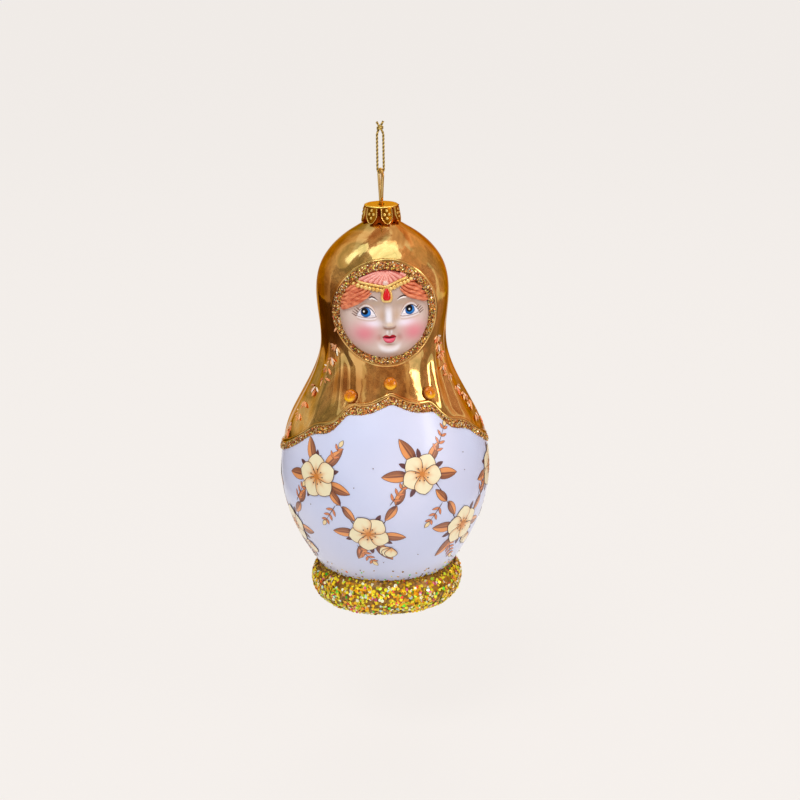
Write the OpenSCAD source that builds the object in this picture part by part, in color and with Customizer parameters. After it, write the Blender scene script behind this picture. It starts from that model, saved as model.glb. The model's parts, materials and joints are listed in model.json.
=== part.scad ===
// Hanging blown-glass ornament in the form of a nesting doll, in millimetres.
// It is built upright from the underside of its foot, and then lowered so that
// the top of the inside of the cord loop is the origin. The face looks along -Y.

/* [Glass body] */
// radius of the belly at its widest
belly_r = 32.6; // [20:0.1:60]
// height from the underside of the foot to the root of the neck
glass_h = 122; // [80:0.5:220]
// wall of the blown glass
wall = 0.9; // [0.5:0.05:2]
// outside radius of the glass neck
neck_r = 4.6; // [3:0.1:8]
// wall of the glass neck
neck_wall = 0.5; // [0.3:0.05:1]
// height of the neck above its root
neck_h = 3.7; // [2:0.1:8]
// flare from the root of the neck out to the shoulder
neck_flare = 0.9; // [0.3:0.05:1.5]
// radius of the rolled section of the foot
foot_roll_r = 6.6; // [3:0.1:12]
// distance from the axis to the middle of that section
foot_ring_r = 16.5; // [10:0.1:30]

/* [Face] */
// radius of the round face, seen from the front
face_r = 13.6; // [8:0.1:25]
// radius of the face's curve across
face_across_r = 17; // [10:0.1:30]
// radius of the face's curve up and down
face_upright_r = 30; // [15:0.5:60]
// distance from the axis back to the middle of the curve across
face_back = 4.9; // [2:0.1:10]
// width of the glitter border round the face
face_border_w = 2.1; // [1:0.1:4]
// width of the lip of the scarf round that border
scarf_lip_w = 1.3; // [0.5:0.1:3]
// height of that lip above the head
scarf_lip_h = 0.6; // [0.2:0.05:2]
// height of the moulded hair above the face
hair_h = 0.55; // [0.2:0.05:1.5]
// width of one moulded strand of hair
strand_w = 0.95; // [0.5:0.05:2]
// radius of one bead of the diadem
bead_r = 0.58; // [0.3:0.02:1]
// number of beads on each half of the diadem
bead_count = 7; // [3:1:12]
// width of the diadem's smooth band
diadem_w = 0.8; // [0.4:0.05:2]
// height of that band above the face
diadem_h = 0.9; // [0.3:0.05:2]
// radius of the round end of the moulded drop
drop_r = 1.25; // [0.6:0.05:2.5]

/* [Glitter and stones] */
// thickness of the fine glitter of the face and hem borders
fine_glitter_t = 0.6; // [0.2:0.05:1.2]
// thickness of the coarse glitter on the foot
coarse_glitter_t = 0.5; // [0.2:0.05:1.2]
// width of the hem border
hem_w = 2.4; // [1:0.1:5]
// diameter of a stone
stone_d = 4.2; // [2:0.1:8]
// height of the dome of a stone
stone_h = 1.5; // [0.8:0.05:3]
// gap from the lip of the scarf down to the centre stone
stone_lip_gap = 1.6; // [0.8:0.1:4]
// gap from the centre stone down to the hem
stone_hem_gap = 0.95; // [0.5:0.05:4]
// angle from the front to each side stone
stone_angle = 31; // [15:1:60]

/* [Cap] */
// height of the cap
cap_h = 5.3; // [3:0.1:10]
// outside radius of the cap at its top
cap_top_r = 5.25; // [4:0.05:9]
// outside radius of the cap at its edge
cap_edge_r = 6.1; // [4.5:0.05:10]
// sheet metal of the cap
cap_t = 0.35; // [0.2:0.05:0.6]
// gap from the root of the neck down to the edge of the cap
cap_drop = 0.8; // [0:0.1:2]
// number of embossed panels
panel_count = 7; // [4:1:12]
// radius of an embossed dot
dot_r = 0.45; // [0.2:0.02:0.8]
// height of an embossed dot above the sheet
dot_h = 0.3; // [0.1:0.02:0.6]
// radius of an upright rib between panels
rib_r = 0.32; // [0.15:0.01:0.6]
// width of the notch at the foot of a rib
notch_w = 1.8; // [0.5:0.1:3]
// turn of the cap on the neck
cap_turn = 13; // [-30:1:30]

/* [Hanger and cord] */
// diameter of the hanger's wire
wire_d = 0.95; // [0.6:0.05:1.5]
// height of the eye's top above the cap
eye_h = 11.1; // [6:0.1:20]
// radius of the eye's round top, to the middle of the wire
eye_r = 1.9; // [1.2:0.1:4]
// turn of the hanger about the upright axis, from facing sideways
hanger_turn = 12; // [-90:1:90]
// reach of the spring legs below the top of the cap
leg_reach = 15.5; // [8:0.5:25]
// distance between the ends of the spring legs, to the middle of the wire
leg_spread = 6.7; // [4:0.1:12]
// diameter of the cord
cord_d = 0.75; // [0.5:0.05:1.2]
// distance between the two strands of the cord
strand_gap = 2; // [1.6:0.1:4]
// height of the cord loop above the wire, up to the knot
loop_h = 12.6; // [6:0.2:80]
// radius of the knot
knot_r = 1.1; // [0.8:0.05:2]
// length of a loose end above the knot
tail_l = 1.2; // [1:0.1:10]
// lean of a loose end and of a strand into the knot
tail_lean = 22; // [5:1:40]

/* [Clearances] */
// glue line under the stones and the glitter
glue = 0.06; // [0.03:0.01:0.2]
// gap of a loose fit
loose = 0.1; // [0.05:0.01:0.4]
// gap round a strand where it enters the knot
knot_gap = 0.06; // [0.03:0.01:0.2]

/* [Hidden] */
$fn = 48;
// overrun of every cut
over = 1;
// points in each span of the body's outline
span_steps = 3;
// points along the rolled foot
roll_steps = 12;
// bands of the face's curve up and down, an odd number
face_bands = 9;
// angle up the rolled foot where the belly leaves it
crease_angle = 50;
// rings along the hem border
hem_rings = 120;
// sides of the cord
cord_sides = 8;
// steps round the bend of the cord
bend_steps = 14;

// body outline above the foot, from the crease to the neck:
// radius as a share of belly_r, height as a share of glass_h
outline_shares = [
    [0.693, 0.117], [0.767, 0.149], [0.840, 0.184], [0.920, 0.234], [0.979, 0.291], [1.000, 0.348],
    [0.985, 0.414], [0.917, 0.480], [0.810, 0.537], [0.712, 0.586], [0.644, 0.627], [0.601, 0.668],
    [0.592, 0.709], [0.606, 0.750], [0.623, 0.791], [0.626, 0.832], [0.601, 0.873], [0.546, 0.906],
    [0.448, 0.939], [0.340, 0.963], [0.242, 0.980]];
// height of the face's centre as a share of glass_h
face_share = 0.790;
// right half of the hem: angle from the front in degrees, height as a share of the hem's height in front
hem_shares = [
    [0, 1.000], [7.5, 0.979], [15.5, 0.960], [24, 0.953], [30.5, 0.951], [35, 0.912], [40.5, 0.876], [48, 0.862],
    [54.5, 0.848], [60, 0.818], [67, 0.786], [80, 0.740], [105, 0.694], [140, 0.664], [180, 0.652]];
// height of the side stones as a share of the hem's height in front
stone_side_share = 0.989;
// features of the face, as shares of face_r from its centre, across and up
eye_shares = [0.490, 0.080];
nose_share = -0.243;
nostril_shares = [0.085, -0.268];
upper_lip_shares = [0.062, -0.510];
lower_lip_share = -0.600;
chin_share = -0.800;
cheek_shares = [0.530, -0.330];
drop_shares = [0.360, 0.610];
pearl_share = 0.735;
// middle of the hair's and of the diadem's curves, as shares of face_r
hair_middle_shares = [0.220, -0.515];
hair_first_share = 0.925;
hair_strands = 4;
diadem_middle_share = 2.520;
diadem_curve_share = 1.880;
bead_curve_share = 1.945;
bead_start_share = 0.190;
bead_step_share = 0.082;
// sizes and heights of the moulded features, as shares of face_r
eye_ball_share = 0.290;
eye_rise_share = 0.026;
nose_ball_share = 0.090;
nose_rise_share = 0.078;
nostril_ball_share = 0.052;
nostril_rise_share = 0.036;
upper_lip_ball_share = 0.070;
lower_lip_ball_share = 0.088;
lip_rise_share = 0.038;
chin_ball_share = 0.240;
chin_rise_share = 0.042;
cheek_ball_share = 0.440;
cheek_rise_share = 0.034;
// bezel of the drop: its radius as a share of drop_r
bezel_share = 1.45;
drop_rise_share = 0.8;
// strands of the parted hair over the forehead: turns in degrees
fan_turns = [-66, -48, -26, 0, 26, 48, 66];
fan_length_share = 0.300;
fan_top_share = 0.960;
// dots in one panel: turn as a share of the panel's angle, height as a share of cap_h
dot_shares = [[0, 0.72], [-0.17, 0.5], [0.17, 0.5], [0, 0.28]];

face_z = face_share * glass_h;
lip_inner_r = face_r + 2 * loose + face_border_w;
stone_centre_z = face_z - lip_inner_r - scarf_lip_w - stone_lip_gap - stone_d / 2;
hem_front_z = stone_centre_z - stone_d / 2 - stone_hem_gap;
stone_side_z = stone_side_share * hem_front_z;
cap_z = glass_h - cap_drop;
cap_top_z = cap_z + cap_h;
wire_top_z = cap_top_z + eye_h - wire_d / 2;
knot_z = wire_top_z + loop_h;
hang_z = knot_z - knot_r;
cap_hole_r = wire_d + 2 * loose;
bore_r = neck_r - neck_wall;

// Catmull-Rom point between b and c
function curve_point(a, b, c, d, t) =
    (2 * b + (c - a) * t + (2 * a - 5 * b + 4 * c - d) * t * t + (3 * b - a - 3 * c + d) * t * t * t) / 2;
function at_end(list, i) = list[max(0, min(len(list) - 1, i))];
function smooth(list, steps) = concat(
    [for (i = [0 : len(list) - 2], s = [0 : steps - 1])
        curve_point(at_end(list, i - 1), list[i], list[i + 1], at_end(list, i + 2), s / steps)],
    [list[len(list) - 1]]);

crease = [foot_ring_r + foot_roll_r * cos(crease_angle), foot_roll_r * (1 + sin(crease_angle))];
stations = concat([crease], [for (s = outline_shares) [s[0] * belly_r, s[1] * glass_h]],
    [[neck_r + neck_flare, glass_h - neck_flare], [neck_r, glass_h]]);
side = smooth(stations, span_steps);

// the outline moved out by d, square to itself
function moved(i, d) =
    let (t = at_end(side, i + 1) - at_end(side, i - 1), n = [t[1], -t[0]] / norm(t))
    side[i] + n * d;
function moved_side(d) = [for (i = [1 : len(side) - 2]) moved(i, d)];
function roll(d) = [for (i = [0 : roll_steps])
    let (a = -90 + (90 + crease_angle) * i / roll_steps)
    [foot_ring_r + (foot_roll_r + d) * cos(a), foot_roll_r + (foot_roll_r + d) * sin(a)]];

// radius of the body at a height, for what lies on it
side_lookup = [for (p = side) [p[1], p[0]]];
function body_r(z) = lookup(z, side_lookup);
function body_slope(z) = atan2(body_r(z - over) - body_r(z + over), 2 * over);

// how far forward the face's curve is, at x and z from its centre
function face_reach(z) = face_across_r - face_upright_r + sqrt(face_upright_r * face_upright_r - z * z);
function face_y(x, z) = -face_back - sqrt(face_reach(z) * face_reach(z) - x * x);

module body_solid() {
    rotate_extrude()
        polygon(concat([[0, 0]], roll(0), moved_side(0), [[neck_r, glass_h], [neck_r, glass_h + neck_h]],
            [[0, glass_h + neck_h]]));
}

module body_hollow() {
    inner = [for (p = moved_side(-wall)) [max(p[0], bore_r), p[1]]];
    rotate_extrude()
        polygon(concat([[0, wall]], roll(-wall), [crease - [wall, 0]], inner,
            [[bore_r, glass_h], [bore_r, glass_h + neck_h + over], [0, glass_h + neck_h + over]]));
}

// the head and shoulders grown by d, for what lies on them
module grown(d) {
    first = span_steps * 8;
    part = [for (i = [first : len(side) - 2]) moved(i, d)];
    rotate_extrude()
        polygon(concat([[0, part[0][1]]], part, [[0, part[len(part) - 1][1]]]));
}

// upright barrel that the face is a part of, grown by d
module barrel(d) {
    arc = [for (i = [-face_bands : 2 : face_bands])
        let (z = (face_r + over) * i / face_bands)
        [face_reach(z) + d, z]];
    translate([0, -face_back, face_z])
        rotate_extrude($fn = 96)
            polygon(concat([[0, arc[0][1]]], arc, [[0, arc[len(arc) - 1][1]]]));
}

// round bar along -Y through the face's centre, or through x and z from it
module bar(r, x = 0, z = 0) {
    translate([x, 0, face_z + z])
        rotate([90, 0, 0])
            cylinder(r = r, h = belly_r, $fn = 96);
}

module pipe(outer, inner, x = 0, z = 0) {
    difference() {
        bar(outer, x, z);
        translate([x, over, face_z + z])
            rotate([90, 0, 0])
                cylinder(r = inner, h = belly_r + 2 * over, $fn = 96);
    }
}

// ball of the face that rises above it by rise
module bump(x, z, r, rise) {
    translate([x, face_y(x, z) + r - rise, face_z + z])
        sphere(r = r);
}

module hair_half(way) {
    first = hair_first_share * face_r;
    for (i = [0 : hair_strands - 1])
        intersection() {
            barrel(hair_h);
            pipe(first + (i + 1) * strand_w - loose, first + i * strand_w,
                way * hair_middle_shares[0] * face_r, hair_middle_shares[1] * face_r);
            translate([way > 0 ? strand_w : -belly_r - strand_w, -belly_r, face_z])
                cube([belly_r, belly_r, face_r]);
        }
}

module hair_fan() {
    fan_l = fan_length_share * face_r;
    top = fan_top_share * face_r;
    for (turn = fan_turns) {
        x = fan_l * sin(turn);
        z = top - fan_l * cos(turn);
        a = [0, face_y(0, top), face_z + top];
        b = [x, face_y(x, z), face_z + z];
        rod(a, b, strand_w / 2);
    }
}

// round rod from a to b
module rod(a, b, r) {
    d = b - a;
    translate(a)
        rotate([0, acos(d[2] / norm(d)), atan2(d[1], d[0])])
            cylinder(r = r, h = norm(d));
}

module diadem() {
    intersection() {
        barrel(diadem_h);
        pipe(diadem_curve_share * face_r, diadem_curve_share * face_r - diadem_w, 0, diadem_middle_share * face_r);
    }
    for (way = [-1, 1], i = [0 : bead_count - 1]) {
        x = way * (bead_start_share + i * bead_step_share) * face_r;
        r = bead_curve_share * face_r;
        z = diadem_middle_share * face_r - sqrt(r * r - x * x);
        bump(x, z, bead_r, bead_r);
    }
    bump(0, pearl_share * face_r, drop_r / 2, drop_rise_share * drop_r);
}

module drop() {
    low = drop_shares[0] * face_r;
    high = drop_shares[1] * face_r;
    rise = drop_rise_share * drop_r;
    intersection() {
        barrel(hair_h);
        bar(drop_r * bezel_share, 0, low);
    }
    bump(0, low, drop_r, rise);
    translate([0, face_y(0, low) + drop_r - rise, face_z + low])
        cylinder(r1 = drop_r, r2 = drop_r / 4, h = high - low);
}

// what rises from the face
module features() {
    for (way = [-1, 1]) {
        bump(way * eye_shares[0] * face_r, eye_shares[1] * face_r, eye_ball_share * face_r, eye_rise_share * face_r);
        bump(way * cheek_shares[0] * face_r, cheek_shares[1] * face_r, cheek_ball_share * face_r,
            cheek_rise_share * face_r);
        bump(way * nostril_shares[0] * face_r, nostril_shares[1] * face_r, nostril_ball_share * face_r,
            nostril_rise_share * face_r);
        bump(way * upper_lip_shares[0] * face_r, upper_lip_shares[1] * face_r, upper_lip_ball_share * face_r,
            lip_rise_share * face_r);
        hair_half(way);
    }
    bump(0, nose_share * face_r, nose_ball_share * face_r, nose_rise_share * face_r);
    bump(0, lower_lip_share * face_r, lower_lip_ball_share * face_r, lip_rise_share * face_r);
    bump(0, chin_share * face_r, chin_ball_share * face_r, chin_rise_share * face_r);
    hair_fan();
    diadem();
    drop();
}

module face() {
    intersection() {
        barrel(0);
        bar(face_r);
    }
    intersection() {
        features();
        bar(face_r - loose);
    }
}

module scarf_lip() {
    intersection() {
        grown(scarf_lip_h);
        pipe(lip_inner_r + scarf_lip_w, lip_inner_r);
    }
}

module glass_body() {
    color("gold")
        difference() {
            union() {
                body_solid();
                scarf_lip();
                face();
            }
            body_hollow();
        }
}

module face_glitter_border() {
    color("darkgoldenrod")
        intersection() {
            difference() {
                grown(glue + fine_glitter_t);
                grown(glue);
            }
            pipe(face_r + loose + face_border_w, face_r + loose);
        }
}

// hem route: [angle, height], all round
hem_half = smooth([for (s = hem_shares) [s[0], s[1] * hem_front_z]], span_steps);
hem_lookup = [for (p = hem_half) p];
function hem_z(a) = lookup(abs(a), hem_lookup);
function hem_ring(a) =
    let (da = 360 / hem_rings,
        t = [body_r(hem_z(a)) * PI / 180 * 2 * da, hem_z(a + da > 180 ? 360 - a - da : a + da)
            - hem_z(a - da < -180 ? 360 + a - da : a - da)],
        n = [-t[1], t[0]] / norm(t))
    [for (c = [[0, glue], [0, glue + fine_glitter_t], [1, glue + fine_glitter_t], [1, glue]])
        let (z = hem_z(a) - (1 - c[0]) * hem_w * n[1],
            turn = a - (1 - c[0]) * hem_w * n[0] / body_r(z) * 180 / PI,
            r = body_r(z) + c[1] / cos(body_slope(z)))
        [r * sin(turn), -r * cos(turn), z]];

module hem_glitter_border() {
    rings = [for (i = [0 : hem_rings - 1]) hem_ring(-180 + 360 * (i + 0.5) / hem_rings)];
    count = 4;
    color("peru")
        polyhedron(
            points = [for (ring = rings, p = ring) p],
            faces = [for (i = [0 : hem_rings - 1], j = [0 : count - 1], half = [0, 1])
                let (i2 = (i + 1) % hem_rings, j2 = (j + 1) % count,
                    a = i * count + j, b = i * count + j2, c = i2 * count + j2, d = i2 * count + j)
                half == 0 ? [a, c, b] : [a, d, c]]);
}

// part of the rolled foot that the coarse glitter covers, in degrees
coat_low_angle = -58;
coat_high_angle = 38;

module foot_glitter_coat() {
    arc = [for (i = [0 : roll_steps]) coat_low_angle + (coat_high_angle - coat_low_angle) * i / roll_steps];
    outer = foot_roll_r + glue + coarse_glitter_t;
    inner = foot_roll_r + glue;
    color("goldenrod")
        rotate_extrude()
            polygon(concat(
                [for (a = arc) [foot_ring_r + outer * cos(a), foot_roll_r + outer * sin(a)]],
                [for (i = [0 : roll_steps])
                    let (a = arc[roll_steps - i])
                    [foot_ring_r + inner * cos(a), foot_roll_r + inner * sin(a)]]));
}

// domed stone with a flat back, lying on the body
module stone(angle, z) {
    ball_r = (stone_d * stone_d / 4 + stone_h * stone_h) / (2 * stone_h);
    color("orange")
        rotate([0, 0, angle])
            translate([0, -body_r(z), z])
                rotate([90 - body_slope(z), 0, 0])
                    translate([0, 0, glue])
                        intersection() {
                            translate([0, 0, stone_h - ball_r])
                                sphere(r = ball_r);
                            cylinder(r = stone_d, h = stone_d);
                        }
}

module stone_left() {
    stone(-stone_angle, stone_side_z);
}

module stone_centre() {
    stone(0, stone_centre_z);
}

module stone_right() {
    stone(stone_angle, stone_side_z);
}

module neck_cap() {
    lean = atan2(cap_edge_r - cap_top_r, cap_h);
    slant = norm([cap_edge_r - cap_top_r, cap_h]);
    panel = 360 / panel_count;
    color("gold")
        difference() {
            union() {
                translate([0, 0, cap_z])
                    cylinder(r1 = cap_edge_r, r2 = cap_top_r, h = cap_h);
                for (i = [0 : panel_count - 1])
                    rotate([0, 0, (i + 0.5) * panel + cap_turn])
                        translate([0, -cap_edge_r, cap_z])
                            rotate([-lean, 0, 0])
                                translate([0, 0, notch_w])
                                    cylinder(r = rib_r, h = slant - notch_w - rib_r);
                for (i = [0 : panel_count - 1], s = dot_shares)
                    rotate([0, 0, (i + s[0]) * panel + cap_turn])
                        translate([0, -cap_edge_r + s[1] * (cap_edge_r - cap_top_r), cap_z + s[1] * cap_h])
                            rotate([90 - lean, 0, 0])
                                translate([0, 0, -cap_t / 2])
                                    cylinder(r1 = dot_r, r2 = dot_r / 2, h = cap_t / 2 + dot_h);
            }
            translate([0, 0, cap_z])
                cylinder(r1 = cap_edge_r - cap_t, r2 = cap_top_r - cap_t, h = cap_h - cap_t);
            for (i = [0 : panel_count - 1])
                rotate([0, 0, (i + 0.5) * panel + cap_turn])
                    translate([0, -cap_edge_r + over, cap_z])
                        rotate([90, 0, 0])
                            cylinder(r = notch_w / 2, h = 2 * over);
            translate([0, 0, cap_top_z - cap_t - over])
                cylinder(r = cap_hole_r, h = cap_t + 2 * over);
        }
}

// wire bent to a hairpin: a round top, two sides that close to the hole in the cap,
// and two legs that spring apart inside the neck
module hanger_wire() {
    r = wire_d / 2;
    arch_z = wire_top_z - eye_r;
    bend_r = r + loose / 4;
    throat = r + loose / 2;
    shoulder_z = cap_top_z - 2 * wire_d;
    end_z = cap_top_z - leg_reach;
    color("gold")
        rotate([0, 0, 90 + hanger_turn]) {
            translate([0, 0, arch_z])
                rotate([90, 0, 0])
                    rotate_extrude(angle = 180)
                        translate([eye_r, 0])
                            circle(r = r);
            for (way = [-1, 1]) {
                rod([way * eye_r, 0, arch_z], [way * throat, 0, cap_top_z + wire_d], r);
                translate([way * eye_r, 0, arch_z])
                    sphere(r = bend_r);
                translate([way * throat, 0, cap_top_z + wire_d])
                    sphere(r = bend_r);
                rod([way * throat, 0, cap_top_z + wire_d], [way * throat, 0, shoulder_z], r);
                translate([way * throat, 0, shoulder_z])
                    sphere(r = bend_r);
                rod([way * throat, 0, shoulder_z], [way * leg_spread / 2, 0, end_z], r);
                translate([way * leg_spread / 2, 0, end_z])
                    sphere(r = bend_r);
            }
        }
}

// route of the cord in the plane of its loop: [across, up from the middle of the wire]
cord_bend_r = strand_gap / 2;
knot_bore_share = 0.75;
bore_depth = knot_bore_share * knot_r;
// points along a strand, as shares of its upright part and then of its lean
upright_shares = [0, 0.5, 0.85];
lean_shares = [0.25, 0.6, 1];
lean_l = cord_bend_r / sin(tail_lean);
lean_top = [bore_depth * sin(tail_lean), loop_h - bore_depth * cos(tail_lean)];
lean_foot = [cord_bend_r, loop_h - lean_l * cos(tail_lean)];
right_route = concat(
    [for (s = upright_shares) [cord_bend_r, s * lean_foot[1]]],
    [for (s = lean_shares) lean_foot + s * (lean_top - lean_foot)]);
right_curve = smooth(right_route, span_steps);
bend_curve = [for (i = [1 : bend_steps - 1]) cord_bend_r * [-cos(180 * i / bend_steps), -sin(180 * i / bend_steps)]];
cord_curve = concat(
    [for (i = [len(right_curve) - 1 : -1 : 0]) [-right_curve[i][0], right_curve[i][1]]],
    bend_curve, right_curve);

module cord_loop() {
    last = len(cord_curve) - 1;
    rings = [for (i = [0 : last])
        let (p = cord_curve[i], t = at_end(cord_curve, i + 1) - at_end(cord_curve, i - 1),
            n = [t[1], -t[0]] / norm(t))
        [for (k = [0 : cord_sides - 1])
            let (a = 360 * k / cord_sides, q = p + n * cord_d / 2 * cos(a))
            [q[0], cord_d / 2 * sin(a), q[1] + wire_top_z]]];
    color("khaki")
        rotate([0, 0, hanger_turn])
            polyhedron(
                points = [for (ring = rings, p = ring) p],
                faces = concat(
                    [[for (k = [0 : cord_sides - 1]) k]],
                    [[for (k = [cord_sides - 1 : -1 : 0]) last * cord_sides + k]],
                    [for (i = [0 : last - 1], k = [0 : cord_sides - 1], half = [0, 1])
                        let (k2 = (k + 1) % cord_sides, a = i * cord_sides + k, b = i * cord_sides + k2,
                            c = a + cord_sides, d = b + cord_sides)
                        half == 0 ? [a, d, b] : [a, c, d]]));
}

module cord_knot() {
    color("khaki")
        rotate([0, 0, hanger_turn])
            translate([0, 0, knot_z])
                difference() {
                    union() {
                        sphere(r = knot_r);
                        for (way = [-1, 1])
                            rotate([0, way * tail_lean, 0])
                                cylinder(r = cord_d / 2, h = knot_r + tail_l);
                    }
                    for (way = [-1, 1])
                        rotate([0, 180 - way * tail_lean, 0])
                            translate([0, 0, bore_depth - knot_gap])
                                cylinder(r = cord_d / 2 + knot_gap, h = 2 * knot_r);
                }
}

translate([0, 0, -hang_z]) {
    glass_body();
    face_glitter_border();
    hem_glitter_border();
    foot_glitter_coat();
    stone_left();
    stone_centre();
    stone_right();
    neck_cap();
    hanger_wire();
    cord_loop();
    cord_knot();
}
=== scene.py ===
import json
import math

import bpy
import numpy as np
from mathutils import Matrix, Vector
from mathutils.bvhtree import BVHTree


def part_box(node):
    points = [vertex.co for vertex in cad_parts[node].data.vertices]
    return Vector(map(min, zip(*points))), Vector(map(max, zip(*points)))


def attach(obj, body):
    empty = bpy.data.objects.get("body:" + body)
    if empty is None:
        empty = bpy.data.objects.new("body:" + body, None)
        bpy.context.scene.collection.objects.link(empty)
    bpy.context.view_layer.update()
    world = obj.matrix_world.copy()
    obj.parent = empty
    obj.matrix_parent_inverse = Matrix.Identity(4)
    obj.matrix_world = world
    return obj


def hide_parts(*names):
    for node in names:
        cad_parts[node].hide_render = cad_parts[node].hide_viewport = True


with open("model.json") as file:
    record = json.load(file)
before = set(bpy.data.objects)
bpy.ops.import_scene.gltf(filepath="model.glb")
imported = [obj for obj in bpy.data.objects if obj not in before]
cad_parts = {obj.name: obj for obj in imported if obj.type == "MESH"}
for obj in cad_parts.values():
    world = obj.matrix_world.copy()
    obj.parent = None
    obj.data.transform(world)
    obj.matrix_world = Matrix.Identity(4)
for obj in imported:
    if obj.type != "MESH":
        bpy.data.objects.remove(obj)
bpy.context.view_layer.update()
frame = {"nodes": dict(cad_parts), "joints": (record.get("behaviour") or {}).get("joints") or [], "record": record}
scene = bpy.context.scene
scene.view_settings.view_transform = "Standard"

mm = 0.001  # sizes below are in millimetres and angles in degrees
mounts = {mount["name"]: mount for mount in frame["record"]["mounts"]}
footZ = mounts["foot_base"]["pos_m"][2] / mm  # heights are counted up from the foot
ringLow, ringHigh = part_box("face_glitter_border")
faceHeight = (ringLow.z + ringHigh.z) / 2 / mm - footZ
glassMesh = frame["nodes"]["glass_body"].data
glassTree = BVHTree.FromPolygons([v.co for v in glassMesh.vertices],
                                 [p.vertices for p in glassMesh.polygons])


# small helpers

def clearSelection():
    if bpy.context.mode != "OBJECT":
        bpy.ops.object.mode_set(mode="OBJECT")
    bpy.ops.object.select_all(action="DESELECT")


def pick(piece):
    clearSelection()
    piece.select_set(True)
    bpy.context.view_layer.objects.active = piece


def nameNew(name):
    piece = bpy.context.object
    piece.name = name
    piece.data.name = name
    return piece


def toFrame(points):
    # from millimetres above the foot to the part's own frame
    return (np.asarray(points) + (0, 0, footZ)) * mm


def fromFrame(points):
    return np.asarray(points) / mm - (0, 0, footZ)


def plainPoints(piece):
    flat = np.empty(len(piece.data.vertices) * 3)
    piece.data.vertices.foreach_get("co", flat)
    return flat.reshape(-1, 3)


def readPoints(piece):
    return fromFrame(plainPoints(piece))


def writePoints(piece, points):
    piece.data.vertices.foreach_set("co", toFrame(points).astype(np.float32).ravel())
    piece.data.update()


def paintPoints(piece, colours):
    layer = piece.data.color_attributes.new("paint", "FLOAT_COLOR", "POINT")
    full = np.ones((len(colours), 4), np.float32)
    full[:, :3] = colours
    layer.data.foreach_set("color", full.ravel())


def meshPiece(name, points, faces, colours=None):
    mesh = bpy.data.meshes.new(name)
    mesh.from_pydata([tuple(p) for p in toFrame(points)], [], [tuple(f) for f in faces])
    piece = bpy.data.objects.new(name, mesh)
    scene.collection.objects.link(piece)
    if colours is not None:
        paintPoints(piece, colours)
    return piece


def ringFaces(rows, sides, closed=True):
    # faces between rings of points; a closed piece joins its last ring to its first
    faces = []
    for i in range(rows if closed else rows - 1):
        for k in range(sides):
            a, b = i * sides, (i + 1) % rows * sides
            faces.append((a + k, a + (k + 1) % sides, b + (k + 1) % sides, b + k))
    return faces


def tidyNormals(piece):
    pick(piece)
    bpy.ops.object.mode_set(mode="EDIT")
    bpy.ops.mesh.select_all(action="SELECT")
    bpy.ops.mesh.normals_make_consistent(inside=False)
    bpy.ops.object.mode_set(mode="OBJECT")


def smoothBelow(piece, degrees):
    pick(piece)
    bpy.ops.object.shade_smooth_by_angle(angle=math.radians(degrees))


def tubePiece(name, routes, sides=12, closed=False):
    # each route is a list of (x, y, height, radius)
    line = bpy.data.curves.new(name, "CURVE")
    line.dimensions = "3D"
    line.bevel_depth = mm
    line.bevel_resolution = max(1, sides // 4)
    line.use_fill_caps = not closed
    for route in routes:
        spline = line.splines.new("POLY")
        spline.points.add(len(route) - 1)
        for point, (x, y, height, radius) in zip(spline.points, route):
            point.co = (x * mm, y * mm, (footZ + height) * mm, 1)
            point.radius = radius
        spline.use_cyclic_u = closed
    piece = bpy.data.objects.new(name, line)
    scene.collection.objects.link(piece)
    pick(piece)
    bpy.ops.object.convert(target="MESH")
    piece = nameNew(name)
    bpy.ops.object.shade_smooth()
    return piece


def evenRoute(places, thick):
    # a tube's route with one thickness all along
    return np.column_stack([places, np.full(len(places), thick)])


def dress(piece, body, slotName, *materials):
    piece.data.materials.clear()
    for material in materials:
        piece.data.materials.append(material)
    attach(piece, body)
    return piece


def joinPieces(name, pieces):
    clearSelection()
    for piece in pieces:
        piece.select_set(True)
    bpy.context.view_layer.objects.active = pieces[0]
    bpy.ops.object.join()
    return nameNew(name)


def ease(low, high, value):
    share = np.clip((value - low) / (high - low), 0, 1)
    return share * share * (3 - 2 * share)


def bell(x, z, atX, atZ, wideX, wideZ):
    return np.exp(-((x - atX) / wideX) ** 2 - ((z - atZ) / wideZ) ** 2)


def unit(ways):
    return ways / np.linalg.norm(ways, axis=1)[:, None]


def outward(turn, rise):
    # the way out from the doll's axis, turned from the front and raised from the level
    turn, rise = math.radians(turn), math.radians(rise)
    return Vector((math.sin(turn) * math.cos(rise), -math.cos(turn) * math.cos(rise), math.sin(rise)))


def frontAngle(x, y):
    return np.degrees(np.arctan2(x, -y))


def fullTurn(count):
    return np.linspace(0, math.tau, count, endpoint=False)


def pathLengths(points):
    return np.concatenate([[0], np.cumsum(np.linalg.norm(np.diff(points, axis=0), axis=1))])


def pointsAlong(points, marks):
    along = pathLengths(points)
    return np.column_stack([np.interp(marks, along, column) for column in points.T])


def tone(*screen):
    # a colour as it looks on a screen, turned into linear light
    return tuple(c / 255 / 12.92 if c < 11 else ((c / 255 + 0.055) / 1.055) ** 2.4 for c in screen)


def blend(first, second, share):
    return np.array(tone(*first)) * (1 - share) + np.array(tone(*second)) * share


def tint(colours, colour, share):
    # colours drawn towards one more
    return colours * (1 - share) + np.array(tone(*colour)) * share


# materials

def shaderOf(material):
    return material.node_tree.nodes["Principled BSDF"]


def newMaterial(name, **sockets):
    material = bpy.data.materials.new(name)
    material.use_nodes = True
    for socket, value in sockets.items():
        label = socket.replace("_", " ")
        shaderOf(material).inputs[label].default_value = (*value, 1) if isinstance(value, tuple) else value
    return material


def addNode(material, kind, **settings):
    node = material.node_tree.nodes.new(kind)
    for key, value in settings.items():
        if hasattr(node, key):
            setattr(node, key, value)
        else:
            node.inputs[key.replace("_", " ")].default_value = value
    return node


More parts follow.
